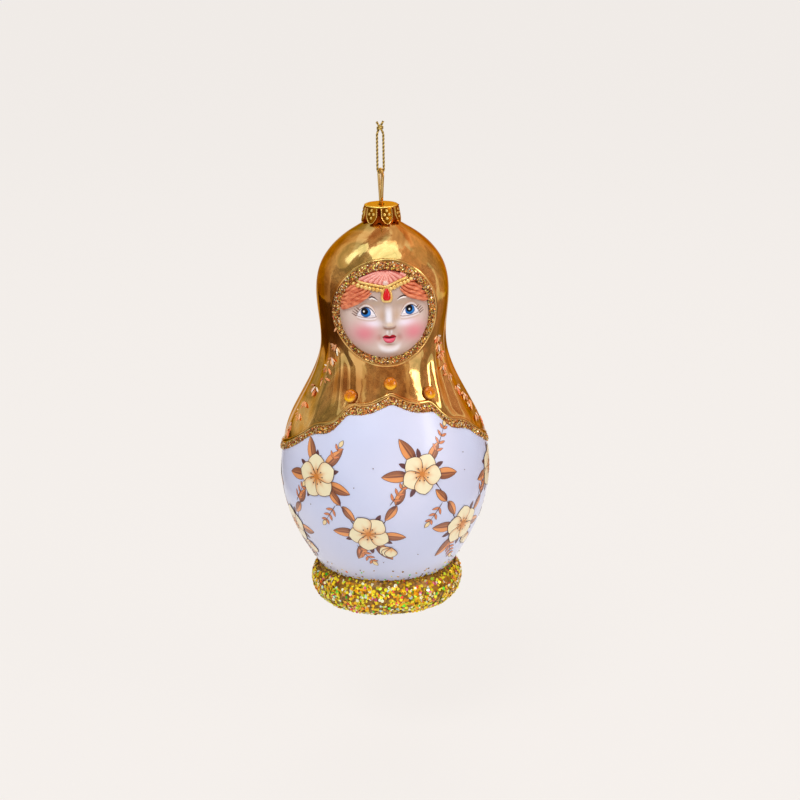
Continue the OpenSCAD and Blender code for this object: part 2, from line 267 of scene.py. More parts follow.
def link(material, source, output, target, socket):
    material.node_tree.links.new(source.outputs[output], target.inputs[socket])


def noiseOn(material, stretch, **settings):
    coords = addNode(material, "ShaderNodeTexCoord")
    mapping = addNode(material, "ShaderNodeMapping", Scale=stretch)
    noise = addNode(material, "ShaderNodeTexNoise", **settings)
    link(material, coords, "Object", mapping, "Vector")
    link(material, mapping, "Vector", noise, "Vector")
    return noise


def rampOf(material, stops):
    ramp = addNode(material, "ShaderNodeValToRGB")
    while len(ramp.color_ramp.elements) < len(stops):
        ramp.color_ramp.elements.new(0.5)
    for element, (place, colour) in zip(ramp.color_ramp.elements, stops):
        element.position = place
        element.color = (*tone(*colour), 1)
    return ramp


def noiseColour(material, scale, stops, stretch=(1, 1, 1), detail=3, distortion=0.0):
    noise = noiseOn(material, stretch, Scale=scale, Detail=detail, Distortion=distortion)
    ramp = rampOf(material, stops)
    link(material, noise, "Fac", ramp, "Fac")
    link(material, ramp, "Color", shaderOf(material), "Base Color")


def noiseBump(material, scale, strength, depth, stretch=(1, 1, 1), detail=2):
    noise = noiseOn(material, stretch, Scale=scale, Detail=detail)
    bump = addNode(material, "ShaderNodeBump", Strength=strength, Distance=depth * mm)
    link(material, noise, "Fac", bump, "Height")
    link(material, bump, "Normal", shaderOf(material), "Normal")


def paintColour(material):
    layer = addNode(material, "ShaderNodeAttribute", attribute_name="paint")
    link(material, layer, "Color", shaderOf(material), "Base Color")


goldTones = [(0.30, (158, 104, 54)), (0.40, (212, 152, 84)), (0.48, (238, 190, 118)),
             (0.56, (188, 158, 92)), (0.64, (240, 198, 124)), (0.74, (252, 230, 172))]

gilding = newMaterial("gilding", Metallic=1.0, Roughness=0.1, Specular_Tint=tone(224, 180, 110))
noiseColour(gilding, 64, goldTones, stretch=(1, 1, 0.6), detail=4, distortion=0.7)
noiseBump(gilding, 130, 0.42, 0.6, stretch=(1, 1, 0.6), detail=3)

satinWhite = newMaterial("satinWhite", Roughness=0.3, Coat_Weight=0.35, Coat_Roughness=0.15)
noiseColour(satinWhite, 22, [(0.3, (204, 214, 246)), (0.7, (220, 222, 246))], detail=2)
noiseBump(satinWhite, 260, 0.12, 0.05)

footGlue = newMaterial("footGlue", Metallic=0.4, Roughness=0.45, Coat_Weight=0.3, Coat_Roughness=0.3)
noiseColour(footGlue, 900, [(0.35, (98, 64, 6)), (0.65, (176, 124, 16))])

copperGlue = newMaterial("copperGlue", Metallic=0.5, Roughness=0.35, Coat_Weight=0.4, Coat_Roughness=0.2)
noiseColour(copperGlue, 1500, [(0.35, (104, 58, 24)), (0.65, (182, 114, 54))])

flakeFoil = newMaterial("flakeFoil", Metallic=0.55, Roughness=0.16, Specular_IOR_Level=0.25)
paintColour(flakeFoil)
coarseFoil = newMaterial("coarseFoil", Metallic=0.22, Roughness=0.16, Specular_IOR_Level=0.35)
paintColour(coarseFoil)

facePaint = newMaterial("facePaint", Roughness=0.42, Specular_IOR_Level=0.14)
paintColour(facePaint)
noiseBump(facePaint, 900, 0.1, 0.03)

hairPaint = newMaterial("hairPaint", Roughness=0.4, Coat_Weight=0.25, Coat_Roughness=0.25)
noiseColour(hairPaint, 420, [(0.34, (190, 82, 42)), (0.66, (244, 148, 102))], stretch=(1, 1, 3))
fanPaint = newMaterial("fanPaint", Roughness=0.4, Coat_Weight=0.25, Coat_Roughness=0.25)
noiseColour(fanPaint, 700, [(0.3, (226, 138, 124)), (0.7, (240, 168, 154))], stretch=(1, 1, 3))

goldPaint = newMaterial("goldPaint", Metallic=0.6, Roughness=0.32, Coat_Weight=0.2)
noiseColour(goldPaint, 500, [(0.3, (222, 168, 72)), (0.7, (252, 226, 150))])
pearlPaint = newMaterial("pearlPaint", Roughness=0.3, Coat_Weight=0.2, Coat_Roughness=0.1)
noiseColour(pearlPaint, 800, [(0.3, (228, 190, 178)), (0.7, (242, 214, 204))])
redPaint = newMaterial("redPaint", Roughness=0.2, Specular_IOR_Level=0.4)
noiseColour(redPaint, 600, [(0.3, (196, 6, 18)), (0.7, (234, 20, 34))])

amberStone = newMaterial("amberStone", Roughness=0.03, Specular_IOR_Level=0.35, Coat_Weight=0.4, Coat_IOR=1.5)
paintColour(amberStone)

capMetal = newMaterial("capMetal", Metallic=1.0, Roughness=0.24, Specular_Tint=tone(226, 176, 96))
paintColour(capMetal)
noiseBump(capMetal, 900, 0.5, 0.12)

wireMetal = newMaterial("wireMetal", Metallic=1.0, Roughness=0.12, Specular_Tint=tone(230, 190, 120))
noiseColour(wireMetal, 300, [(0.3, (190, 140, 60)), (0.7, (248, 224, 160))], stretch=(1, 1, 0.3))

threadGold = newMaterial("threadGold", Metallic=0.6, Roughness=0.38)
paintColour(threadGold)
noiseBump(threadGold, 6000, 0.4, 0.05)
dabPaint = newMaterial("dabPaint", Roughness=0.3, Coat_Weight=0.4)
paintColour(dabPaint)
transferPaint = newMaterial("transferPaint", Roughness=0.3, Coat_Weight=0.35, Coat_Roughness=0.15)
paintColour(transferPaint)
print("materials made")


# camera at the photograph's angle, and the cord

cameraSet = {"away": 700, "height": 62.5, "turn": -5.5, "rise": 16.5, "lens": 100.8,
             "right": 4.94, "up": 1.56, "roll": -0.76, "sensor": 36, "near": 10}


def makeCamera():
    back = outward(cameraSet["turn"], cameraSet["rise"])
    facing = (-back).to_track_quat("-Z", "Y").to_matrix()
    aim = Vector((0, 0, footZ + cameraSet["height"]))
    aim += facing @ Vector((cameraSet["right"], cameraSet["up"], 0))
    bpy.ops.object.camera_add(location=(aim + back * cameraSet["away"]) * mm)
    camera = bpy.context.object
    camera.name = "camera"
    roll = Matrix.Rotation(math.radians(cameraSet["roll"]), 3, "Z")
    camera.rotation_euler = (facing @ roll).to_euler()
    camera.data.lens = cameraSet["lens"]
    camera.data.sensor_width = cameraSet["sensor"]
    camera.data.clip_start = cameraSet["near"] * mm
    scene.camera = camera


makeCamera()

swing = next(joint for joint in frame["joints"] if joint["name"] == "hanger_swing")
wireTop = swing["pos_m"][2] / mm
loopTurn = math.atan2(-swing["axis"][0], swing["axis"][1])  # the loop lies across the wire

# points are (across the loop, towards its front, up from the wire)
# the cord's two colours are painted shade in the grooves between the plies and a painted highlight on their crests
cordSet = {"diameter": 0.75, "lay": 1.15, "lobe": 0.12, "sides": 16, "rings": 420,
           "dark": (82, 64, 22), "raisedHighlight": (222, 190, 104),
           "route": [(1.15, 0.3, 14.6), (0.85, 0.34, 14.05), (0.5, 0.42, 13.4), (0.2, 0.45, 12.95),
                     (-0.1, 0.45, 12.5), (-0.42, 0.38, 11.9), (-0.75, 0.2, 11.3), (-0.95, 0.05, 10.7),
                     (-1, 0, 10), (-1, 0, 8), (-1, 0, 6), (-1, 0, 4), (-1, 0, 2), (-1, 0, 0.4),
                     (-0.93, 0, -0.37), (-0.71, 0, -0.71), (-0.38, 0, -0.93), (0, 0, -1)]}


def smoothRoute(points, count):
    # even steps along a Catmull-Rom curve through the points
    padded = np.vstack([2 * points[0] - points[1], points, 2 * points[-1] - points[-2]])
    fine = []
    for a, b, c, d in zip(padded, padded[1:], padded[2:], padded[3:]):
        for t in np.linspace(0, 1, 24, endpoint=False):
            fine.append((2 * b + (c - a) * t + (2 * a - 5 * b + 4 * c - d) * t ** 2
                         + (3 * b - a - 3 * c + d) * t ** 3) / 2)
    fine = np.array(fine + [points[-1]])
    length = pathLengths(fine)[-1]
    return pointsAlong(fine, np.linspace(0, length, count)), length


def pliedTube(name, route, radius):
    # two plies twisted round each other: a section with two lobes that turns along the route; the crests of the
    # plies are painted lighter and the grooves between them darker, as painted highlight and shade
    route = np.asarray(route)
    ahead = unit(np.gradient(route, axis=0))
    side = np.cross(ahead[0], (0.3, 0.9, 0.2))
    along, rings, shades = 0.0, [], []
    around = fullTurn(cordSet["sides"])
    for i, (place, way) in enumerate(zip(route, ahead)):
        side = side - way * (side @ way)
        side /= np.linalg.norm(side)
        across = np.cross(way, side)
        if i:
            along += np.linalg.norm(place - route[i - 1])
        lobe = np.cos(2 * (around - math.tau * along / cordSet["lay"] / 2))
        reach = radius * (1 - cordSet["lobe"] * (1 - lobe))
        ring = np.outer(np.cos(around) * reach, side) + np.outer(np.sin(around) * reach, across)
        rings.append(place + ring)
        shades.append(0.5 + 0.5 * lobe)
    count, sides = len(rings), cordSet["sides"]
    faces = ringFaces(count, sides, closed=False)
    faces += [tuple(reversed(range(sides))), tuple(range((count - 1) * sides, count * sides))]
    # painted highlight on the ply crests and painted shade in the grooves between them
    colours = blend(cordSet["dark"], cordSet["raisedHighlight"], np.concatenate(shades)[:, None])
    piece = meshPiece(name, np.vstack(rings), faces, colours)
    tidyNormals(piece)
    bpy.ops.object.shade_smooth()
    return piece


def inLoop(points):
    # from the loop's own plane to heights above the foot
    across, front, up = np.asarray(points, float).T
    c, s = math.cos(loopTurn), math.sin(loopTurn)
    return np.column_stack([across * c - front * s, across * s + front * c, up + wireTop - footZ])


def makeCord():
    half = np.array(cordSet["route"], float)
    other = half[-2::-1] * (-1, -1, 1)  # the second strand passes behind the first in the knot
    route, length = smoothRoute(np.vstack([half, other]), cordSet["rings"])
    placed = inLoop(route)
    cord = pliedTube("hangingCord", placed, cordSet["diameter"] / 2)
    dress(cord, "cord", "gold_cord", threadGold)
    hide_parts("cord_loop")
    return cord, [tuple(p) for p in toFrame(placed)], length


knotSet = {"turns": 2.2, "radius": 0.72, "rise": 0.85, "thread": 0.36, "height": 12.6, "rings": 150,
           "tuck": 0.75, "tuckShare": 0.2}


def makeKnot():
    t = np.linspace(0, 1, knotSet["rings"])
    angle = math.tau * knotSet["turns"] * t
    ends = np.maximum(0, 1 - (1 - np.abs(2 * t - 1)) / knotSet["tuckShare"])
    reach = knotSet["radius"] * (1 - knotSet["tuck"] * ends)  # both ends turn into the knot
    height = knotSet["height"] + knotSet["rise"] * (t - 0.5)
    coil = np.column_stack([reach * np.cos(angle), reach * np.sin(angle), height])
    knot = pliedTube("cordKnot", inLoop(coil), knotSet["thread"])
    dress(knot, "cord", "gold_cord", threadGold)
    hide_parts("cord_knot")
    return knot


cord, cordPath, cordLength = makeCord()
knot = makeKnot()
print("camera and cord made, cord", round(cordLength, 1), "mm")


# outline of the glass, measured on its back where the mould is plain

outlineSet = {"low": 0.05, "high": 125.6, "step": 0.1, "smoothFrom": 13.0, "smoothTo": 118.0, "fade": 3,
              "spread": 1.0, "turnStep": 1.5, "rayFrom": 0.06}  # rays start this far out, in metres


def measureOutline():
    step, spread, fade = outlineSet["step"], outlineSet["spread"], outlineSet["fade"]
    heights = np.arange(outlineSet["low"], outlineSet["high"], step)
    radii = []
    for height in heights:
        start = Vector((0, outlineSet["rayFrom"], (footZ + height) * mm))
        place = glassTree.ray_cast(start, Vector((0, -1, 0)))[0]
        radii.append(place.y / mm if place else 0)
    radii = np.array(radii)
    reach = int(4 * spread / step)
    kernel = np.exp(-0.5 * (np.arange(-reach, reach + 1) * step / spread) ** 2)
    smooth = np.convolve(np.pad(radii, reach, mode="edge"), kernel / kernel.sum(), mode="valid")
    share = ease(outlineSet["smoothFrom"], outlineSet["smoothFrom"] + fade, heights)
    share = share * (1 - ease(outlineSet["smoothTo"] - fade, outlineSet["smoothTo"], heights))
    return heights, radii * (1 - share) + smooth * share


outlineHeights, outlineRadii = measureOutline()


def glassRadius(height):
    return np.interp(height, outlineHeights, outlineRadii)


def glassLean(height):
    # how much the radius shrinks for a millimetre of height
    return glassRadius(height - 0.5) - glassRadius(height + 0.5)


def onGlass(angle, height, lift=0.0):
    # a point on the glass, lifted square to it; the angle is counted from the front
    turn = np.radians(angle)
    lean = np.arctan(glassLean(height))
    reach = glassRadius(height) + lift * np.cos(lean)
    return np.stack([reach * np.sin(turn), -reach * np.cos(turn), height + lift * np.sin(lean)], axis=-1)


def outOfGlass(angle, height):
    # one millimetre out, square to the glass
    return onGlass(angle, height, 1) - onGlass(angle, height)


# hem line, measured on the glitter border

def measureHem():
    node = frame["nodes"]["hem_glitter_border"]
    low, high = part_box("hem_glitter_border")
    far, step = outlineSet["rayFrom"], outlineSet["step"] * mm
    angles = np.arange(-180, 180, outlineSet["turnStep"])
    tops = []
    for angle in angles:
        way = Vector((math.sin(math.radians(angle)), -math.cos(math.radians(angle)), 0))
        height = high.z + step
        while height > low.z:
            if node.ray_cast(way * far + Vector((0, 0, height)), -way, distance=far)[0]:
                break
            height -= step
        tops.append(height / mm - footZ)
    tops = np.array(tops)
    return angles, (np.roll(tops, 1) + 2 * tops + np.roll(tops, -1)) / 4


hemAngles, hemTops = measureHem()


def hemHeight(angle):
    return np.interp((np.asarray(angle) + 180) % 360 - 180, hemAngles, hemTops, period=360)


print("outline and hem measured")


# face surface, in millimetres across and up from the middle of its glitter border

faceSet = {"radius": 13.9, "shift": -0.8, "across": 17.0, "upright": 30.0, "back": 4.9, "rows": 320,
           "puff": 0.9, "turnIn": 2.6, "skirt": 1.4}
eyeSets = [
    {"side": -1, "across": -6.75, "up": 0.3, "wide": 2.75, "upper": 2.7, "lower": 0.5, "slant": 0.04,
     "iris": (-6.95, 1.4), "pupil": (-7.25, 1.75), "glint": (-7.5, 1.75)},
    {"side": 1, "across": 6.4, "up": 0.45, "wide": 2.8, "upper": 2.75, "lower": 0.4, "slant": 0.1,
     "iris": (6.4, 1.7), "pupil": (6.2, 2.1), "glint": (6.2, 1.95)}]
eyeSizes = {"iris": 1.48, "pupil": 1.0, "glint": 0.24}
# lower edge of the moulded hair, from the parting outwards
hairEdges = {-1: ([5.3, 5.9, 8.4, 12.0, 15.0], [9.0, 6.5, 4.4, 2.3, 1.7]),
             1: ([3.6, 4.4, 7.0, 9.0, 12.0, 15.0], [9.0, 7.0, 5.3, 4.5, 3.7, 3.4])}
diademSet = {"x": [-10.6, -5.6, -0.9, 3.2, 7.6], "z": [10.7, 9.85, 9.1, 10.7, 11.9], "ends": (-10.4, 7.5),
             "thick": 0.42, "lift": 0.3, "bead": 0.72, "uneven": 0.12, "beadDrop": 1.15, "beadLift": 0.2,
             "leftBeads": (-10.1, -2.3, 8), "rightBeads": (0.6, 7.0, 7), "pearl": (-0.9, 10.2, 0.85, 0.1)}


def faceForward(x, z):
    # distance in front of the doll's axis, before the features are added
    reach = faceSet["across"] - faceSet["upright"] + np.sqrt(faceSet["upright"] ** 2 - z * z)
    return faceSet["back"] + np.sqrt(np.maximum(reach * reach - (x - faceSet["shift"]) ** 2, 0.01))


def faceEdge(x, z):
    return np.hypot(x - faceSet["shift"], z) / faceSet["radius"]


def diademLine(x):
    return np.interp(x, diademSet["x"], diademSet["z"])


def hairCover(x, z):
    # 1 where the moulded hair lies
    cover = ease(-0.3, 0.3, z - diademLine(x))
    for side, (across, up) in hairEdges.items():
        out = x * side
        lock = ease(-0.1, 0.25, z - np.interp(out, across, up)) * ease(across[0], across[0] + 0.5, out)
        cover = np.maximum(cover, lock)
    return cover


def eyeShape(x, z, eye):
    # u runs outwards across the eye; upper and lower are depths inside the two lids
    u = (x - eye["across"]) * eye["side"]
    middle = eye["up"] + eye["slant"] * u
    inside = np.maximum(1 - (u / eye["wide"]) ** 2, 0)
    upper = middle + eye["upper"] * inside ** 0.75 - z
    lower = z - (middle - eye["lower"] * inside ** 0.6)
    return u, upper, lower


def arcLine(x, z, level, bend, wide, near, far):
    # a soft line across the face that bends up at its ends
    return np.exp(-((z - level - bend * x * x) / wide) ** 2) * (1 - ease(near, far, np.abs(x)))


# modelling of the face: rise, across, up, half width, half height
reliefSet = {"forehead": (0.3, 0, 6, 7, 4), "lipGroove": (-0.2, 0, -4.5, 0.4, 0.8),
             "lowerLip": (0.55, 0, -7.3, 1.6, 0.7), "lipDip": (-0.35, 0.1, -8.8, 1.8, 0.5),
             "chin": (0.9, 0, -10.6, 3.2, 1.5)}
# the same, for what is on both sides
reliefPairs = {"cheek": (1.0, 7.2, -4.8, 4.0, 3.8), "nostril": (0.5, 1.5, -2.6, 0.75, 0.65),
               "upperLip": (0.45, 0.95, -5.9, 0.9, 0.5), "mouthCorner": (-0.45, 2.9, -6.5, 0.8, 1.1),
               "brow": (0.3, 4.2, 5.6, 2.0, 0.7)}
noseSet = {"up": [-3.7, -3.2, -2.6, -2.2, 0, 3, 6], "rise": [0, 0.5, 1.5, 1.8, 1.1, 0.5, 0.05],
           "across": -0.15}


def faceRelief(x, z):
    edge = faceEdge(x, z)
    rise = faceSet["puff"] * ease(0.5, 0.88, edge) * (1 - ease(4, 10, z))
    rise -= faceSet["turnIn"] * ease(0.9, 1.0, edge) ** 2
    ridge = np.interp(z, noseSet["up"], noseSet["rise"])
    rise += ridge * (1 - ease(0.5, 2.2, np.abs(x - noseSet["across"])))
    rise -= 0.35 * arcLine(x, z, -6.5, 0.06, 0.2, 1.6, 2.3)  # mouth line
    for height, across, up, wide, tall in reliefSet.values():
        rise += height * bell(x, z, across, up, wide, tall)
    for height, across, up, wide, tall in reliefPairs.values():
        for side in (-1, 1):
            rise += height * bell(x, z, side * across, up, wide, tall)
    for eye in eyeSets:
        rise -= 0.9 * bell(x, z, eye["across"] * 0.85, 1.6, 4.2, 2.8)  # socket
        u, upper, lower = eyeShape(x, z, eye)
        within = 1 - ease(eye["wide"] - 0.5, eye["wide"] + 0.4, np.abs(u))
        rise += 0.7 * ease(0, 1.2, np.minimum(np.minimum(upper, lower), 1.3))  # eyeball
        rise += 0.38 * np.exp(-((upper + 0.38) / 0.45) ** 2) * within  # upper lid
        rise += 0.2 * np.exp(-((lower + 0.3) / 0.35) ** 2) * within  # lower lid
    return rise + 0.3 * hairCover(x, z)


def onFace(x, z, lift=0.0):
    forward = faceForward(x, z) + faceRelief(x, z) + lift
    return np.stack([x, -forward, z + faceHeight], axis=-1)


def strokeCover(x, z, route, wide):
    # 1 along a painted line, whose points are (x, z, share of its width)
    cover = np.zeros_like(x)
    for (x0, z0, w0), (x1, z1, w1) in zip(route, route[1:]):
        dx, dz = x1 - x0, z1 - z0
        t = np.clip(((x - x0) * dx + (z - z0) * dz) / (dx * dx + dz * dz), 0, 1)
        far = np.hypot(x - x0 - t * dx, z - z0 - t * dz)
        half = wide / 2 * (w0 + (w1 - w0) * t)
        cover = np.maximum(cover, 1 - ease(half - 0.06, half + 0.06, far))
    return cover


def layPaint(colours, cover, colour, strength=1.0):
    colours[:] = tint(colours, colour, (np.clip(cover, 0, 1) * strength)[:, None])


def disc(x, z, middle, full, none):
    # 1 inside a round spot, fading between two radii
    return 1 - ease(full, none, np.hypot(x - middle[0], z - middle[1]))


# face colours, among them painted shade (forehead, face edge, under the nose, lid folds, hair grooves) and painted
# highlights (nose bridge, chin, lid ridges, iris, under the brows, glints)
faceTones = {"skin": (212, 192, 183), "forehead": (184, 160, 150), "edge": (184, 148, 130),
             "bridgeHighlight": (238, 236, 246), "underNoseShadow": (160, 114, 90), "chin": (244, 240, 246),
             "upperLip": (164, 22, 36), "lowerLip": (178, 44, 66), "fullLip": (236, 98, 124),
             "mouthLine": (84, 6, 14), "lidFoldShade": (188, 152, 132), "upperLidHighlight": (240, 230, 230),
             "underFoldShade": (200, 166, 152), "lowerLidHighlight": (240, 232, 236), "eyeWhite": (243, 238, 246),
             "irisRim": (16, 76, 146), "iris": (24, 118, 204), "irisHighlight": (74, 150, 226),
             "pupil": (6, 5, 8), "glint": (250, 250, 252), "upperLine": (64, 36, 32),
             "lowerLine": (112, 70, 62), "lash": (88, 46, 34), "browHighlight": (252, 248, 246),
             "brow": (66, 36, 32), "hair": (182, 86, 52), "fan": (206, 112, 102)}
# soft spots of paint: across, up, half width, half height, colour, strength; the spots under the chin and under
# the lip are painted shade, the lip shine a painted highlight
skinSpots = {"underChinShade": (0, -13.2, 9, 2.4, (172, 134, 114), 0.6),
             "noseTip": (0, -2.0, 1.6, 0.6, (222, 198, 172), 0.8),
             "underLipShade": (0.15, -8.8, 1.5, 0.35, (158, 124, 98), 0.75),
             "lipShine": (-0.3, -7.1, 0.8, 0.2, (252, 160, 176), 0.6)}
# the same, for what is on both sides; beside the nose, under the brows and at the mouth corners they are painted
# shade, under the eyes and above the lip painted highlights, and the blush is the doll's own pink
skinPairs = {"besideNoseShade": (2.2, -0.2, 1.0, 3.0, (198, 168, 144), 0.9),
             "underBrowShade": (3.8, 4.3, 2.8, 0.8, (192, 166, 144), 0.8),
             "underEyeHighlight": (5.0, -1.9, 2.9, 1.2, (240, 240, 253), 0.95),
             "mouthCorner": (3.0, -6.6, 0.9, 1.1, (192, 146, 132), 0.7),
             "blush": (7.5, -4.9, 3.9, 3.1, (228, 122, 140), 0.8),
             "aboveLipHighlight": (0.6, -4.5, 0.34, 0.7, (252, 248, 250), 0.9)}


def paintSpot(colours, x, z, spot, side=1):
    across, up, wide, tall, colour, strength = spot
    layPaint(colours, bell(x, z, side * across, up, wide, tall), colour, strength)


def paintSkin(colours, x, z):
    # painted shade towards the edge of the face, where it turns in under the border
    layPaint(colours, ease(0.74, 1.0, faceEdge(x, z)), faceTones["edge"], 0.75)
    # painted shade under the chin
    paintSpot(colours, x, z, skinSpots["underChinShade"])
    for side in (-1, 1):
        for spot in skinPairs.values():
            paintSpot(colours, x, z, spot, side)
    # painted highlight down the nose bridge
    bridgeHighlight = (1 - ease(0.2, 1.5, np.abs(x + 0.25))) * ease(-1.9, -0.6, z) * (1 - ease(1.0, 4.5, z))
    layPaint(colours, bridgeHighlight, faceTones["bridgeHighlight"], 0.82)
    paintSpot(colours, x, z, skinSpots["noseTip"])
    # painted shadow under the nose
    layPaint(colours, arcLine(x, z, -3.55, 0.17, 0.5, 1.4, 2.3), faceTones["underNoseShadow"], 0.9)
    # painted shade under the lower lip
    paintSpot(colours, x, z, skinSpots["underLipShade"])
    # painted highlight in an arc on the chin
    layPaint(colours, arcLine(x, z, -10.25, 0.12, 0.95, 2.2, 4.2), faceTones["chin"], 0.65)


def paintLips(colours, x, z):
    top = np.interp(np.abs(x), [0, 0.4, 1.0, 1.6, 2.1], [-5.92, -5.62, -5.42, -5.62, -6.15])
    line = -6.52 + 0.06 * x * x
    low = np.interp(np.abs(x), [0, 0.6, 1.2, 1.7, 2.0], [-8.22, -8.15, -7.85, -7.2, -6.4])
    width = 1 - ease(1.95, 2.15, np.abs(x))
    layPaint(colours, ease(-0.06, 0.08, top - z) * ease(-0.06, 0.08, z - line) * width, faceTones["upperLip"])
    lower = ease(-0.06, 0.08, line - z) * ease(-0.06, 0.08, z - low) * width
    layPaint(colours, lower, faceTones["lowerLip"])
    layPaint(colours, lower * ease(0.05, 0.45, z - low), faceTones["fullLip"])
    parting = [(-2.0, -6.28, 0.5), (0, -6.5, 1), (2.0, -6.28, 0.5)]
    layPaint(colours, strokeCover(x, z, parting, 0.36), faceTones["mouthLine"])
    paintSpot(colours, x, z, skinSpots["lipShine"])


lashSet = [((1.95, 2.05), (2.8, 2.75)), ((2.5, 1.45), (3.5, 2.3)),
           ((2.8, 0.85), (4.0, 1.7)), ((3.1, 0.3), (4.2, 1.0))]
browSets = [[(-5.7, 6.0, 0.9), (-5.1, 6.3, 1), (-4.3, 6.0, 0.9), (-3.5, 5.4, 0.3)],
            [(5.1, 6.2, 0.9), (4.4, 6.3, 1), (3.5, 6.1, 0.9), (2.5, 5.5, 0.3)]]


def paintEye(colours, x, z, eye, brow):
    u, upper, lower = eyeShape(x, z, eye)
    within = 1 - ease(eye["wide"] - 0.1, eye["wide"] + 0.3, np.abs(u))
    white = ease(-0.05, 0.1, upper) * ease(-0.05, 0.1, lower)
    # painted shade in the fold over the lid
    crease = np.exp(-((upper + 1.1) / 0.3) ** 2) * within  # fold over the lid
    layPaint(colours, crease, faceTones["lidFoldShade"], 0.75)
    # painted highlights on the ridges of both lids, and painted shade in the fold under the lower lid
    layPaint(colours, np.exp(-((upper + 0.42) / 0.36) ** 4) * within, faceTones["upperLidHighlight"], 0.7)
    layPaint(colours, np.exp(-((lower + 0.85) / 0.2) ** 2) * within, faceTones["underFoldShade"], 0.6)
    layPaint(colours, np.exp(-((lower + 0.36) / 0.26) ** 4) * within, faceTones["lowerLidHighlight"], 0.6)
    layPaint(colours, white, faceTones["eyeWhite"])
    iris, pupil, glint = (eyeSizes[name] for name in ("iris", "pupil", "glint"))
    irisX, irisZ = eye["iris"]
    layPaint(colours, white * disc(x, z, eye["iris"], iris - 0.08, iris + 0.08), faceTones["irisRim"])
    layPaint(colours, white * disc(x, z, eye["iris"], iris - 0.45, iris - 0.1), faceTones["iris"])
    # painted highlight on one side of the iris
    layPaint(colours, white * bell(x, z, irisX + 0.9, irisZ + 0.1, 0.4, 0.9), faceTones["irisHighlight"], 0.6)
    layPaint(colours, white * disc(x, z, eye["pupil"], pupil - 0.08, pupil + 0.08), faceTones["pupil"])
    layPaint(colours, disc(x, z, eye["glint"], glint - 0.1, glint + 0.1), faceTones["glint"])
    layPaint(colours, np.exp(-(upper / 0.18) ** 4) * within, faceTones["upperLine"])
    layPaint(colours, np.exp(-(lower / 0.11) ** 4) * within, faceTones["lowerLine"], 0.85)
    for root, tip in lashSet:
        route = [(eye["across"] + eye["side"] * root[0], root[1] + eye["up"] - 0.3, 1),
                 (eye["across"] + eye["side"] * tip[0], tip[1] + eye["up"] - 0.3, 0.6)]
        layPaint(colours, strokeCover(x, z, route, 0.34), faceTones["lash"], 0.95)
    # painted highlight: a pale line under the brow
    light = [(px, pz - 0.42, w) for px, pz, w in brow]  # a pale line under the brow
    layPaint(colours, strokeCover(x, z - 0.02, light, 0.42), faceTones["browHighlight"], 0.8)
    layPaint(colours, strokeCover(x, z, brow, 0.42), faceTones["brow"])


def facePaintAt(x, z):
    colours = np.tile(np.array(tone(*faceTones["skin"])), (len(x), 1))
    # painted shade over the forehead, growing upwards
    layPaint(colours, ease(1.6, 4.0, z), faceTones["forehead"], 0.75)
    paintSkin(colours, x, z)
    paintLips(colours, x, z)
    for eye, brow in zip(eyeSets, browSets):
        paintEye(colours, x, z, eye, brow)
    # the hair's own coral, painted darker so that it shows as shade in the grooves between the moulded strands
    layPaint(colours, hairCover(x, z), faceTones["hair"])
    layPaint(colours, ease(-0.3, 0.3, z - diademLine(x)), faceTones["fan"])
    return colours


def makeFace():
    clearSelection()
    bpy.ops.mesh.primitive_grid_add(x_subdivisions=faceSet["rows"], y_subdivisions=faceSet["rows"], size=2)
    face = nameNew("mouldedFace")
    u, v = plainPoints(face)[:, :2].T
    # the square is drawn out into a disc
    x = faceSet["shift"] + faceSet["radius"] * u * np.sqrt(1 - v * v / 2)
    z = faceSet["radius"] * v * np.sqrt(1 - u * u / 2)
    writePoints(face, onFace(x, z))
    paintPoints(face, facePaintAt(x, z))
    bpy.ops.object.mode_set(mode="EDIT")
    bpy.ops.mesh.select_mode(type="EDGE")
    bpy.ops.mesh.select_all(action="DESELECT")
    bpy.ops.mesh.select_non_manifold()
    bpy.ops.mesh.extrude_region_move(TRANSFORM_OT_translate={"value": (0, faceSet["skirt"] * mm, 0)})
    bpy.ops.mesh.edge_face_add()
    smoothBelow(face, 50)
    return dress(face, "doll", "gilded_glass", facePaint)


makeFace()
print("face made")


# glass body: gilded shawl above the hem, satin belly and foot below it

bodySet = {"row": 0.45, "columns": 288, "neckBore": 4.1, "boreDepth": 6.0, "recess": 1.0, "hemTuck": 0.6,
           "crease": 11.66, "footRound": 0.2, "lipRound": 0.15, "foldClear": (17.5, 21),
           "inside": [(9, 12), (9, 18), (0, 20)]}  # radius and depth under the neck
# folds of the shawl on one side: angle and height at the top, then at the foot, depth, width
foldSet = [(47, 90, 35, 68, 0.9, 2.4), (62, 92, 51, 60, 0.6, 3.0), (80, 94, 73, 56, 0.5, 3.4),
           (101, 96, 99, 52, 0.45, 3.8), (126, 96, 127, 50, 0.45, 4.2), (152, 96, 155, 49, 0.4, 4.6)]


def bodyOutline():
    top = outlineHeights[-1] + outlineSet["step"]
    bore = bodySet["neckBore"]
    inside = [(radius, top - depth) for radius, depth in bodySet["inside"]]
    fine = np.vstack([[0, 0], [outlineRadii[0] - bodySet["footRound"], 0],
                      np.column_stack([outlineRadii, outlineHeights]),
                      [outlineRadii[-1] - bodySet["lipRound"], top], [bore, top],
                      [bore, top - bodySet["boreDepth"]], *inside])
    along = pathLengths(fine)
    last = len(fine) - 2 - len(inside)  # from the bore on, the corners are kept
    rows = pointsAlong(fine, np.arange(along[1], along[last], bodySet["row"]))
    return np.vstack([[0, 0], rows, fine[last:]])


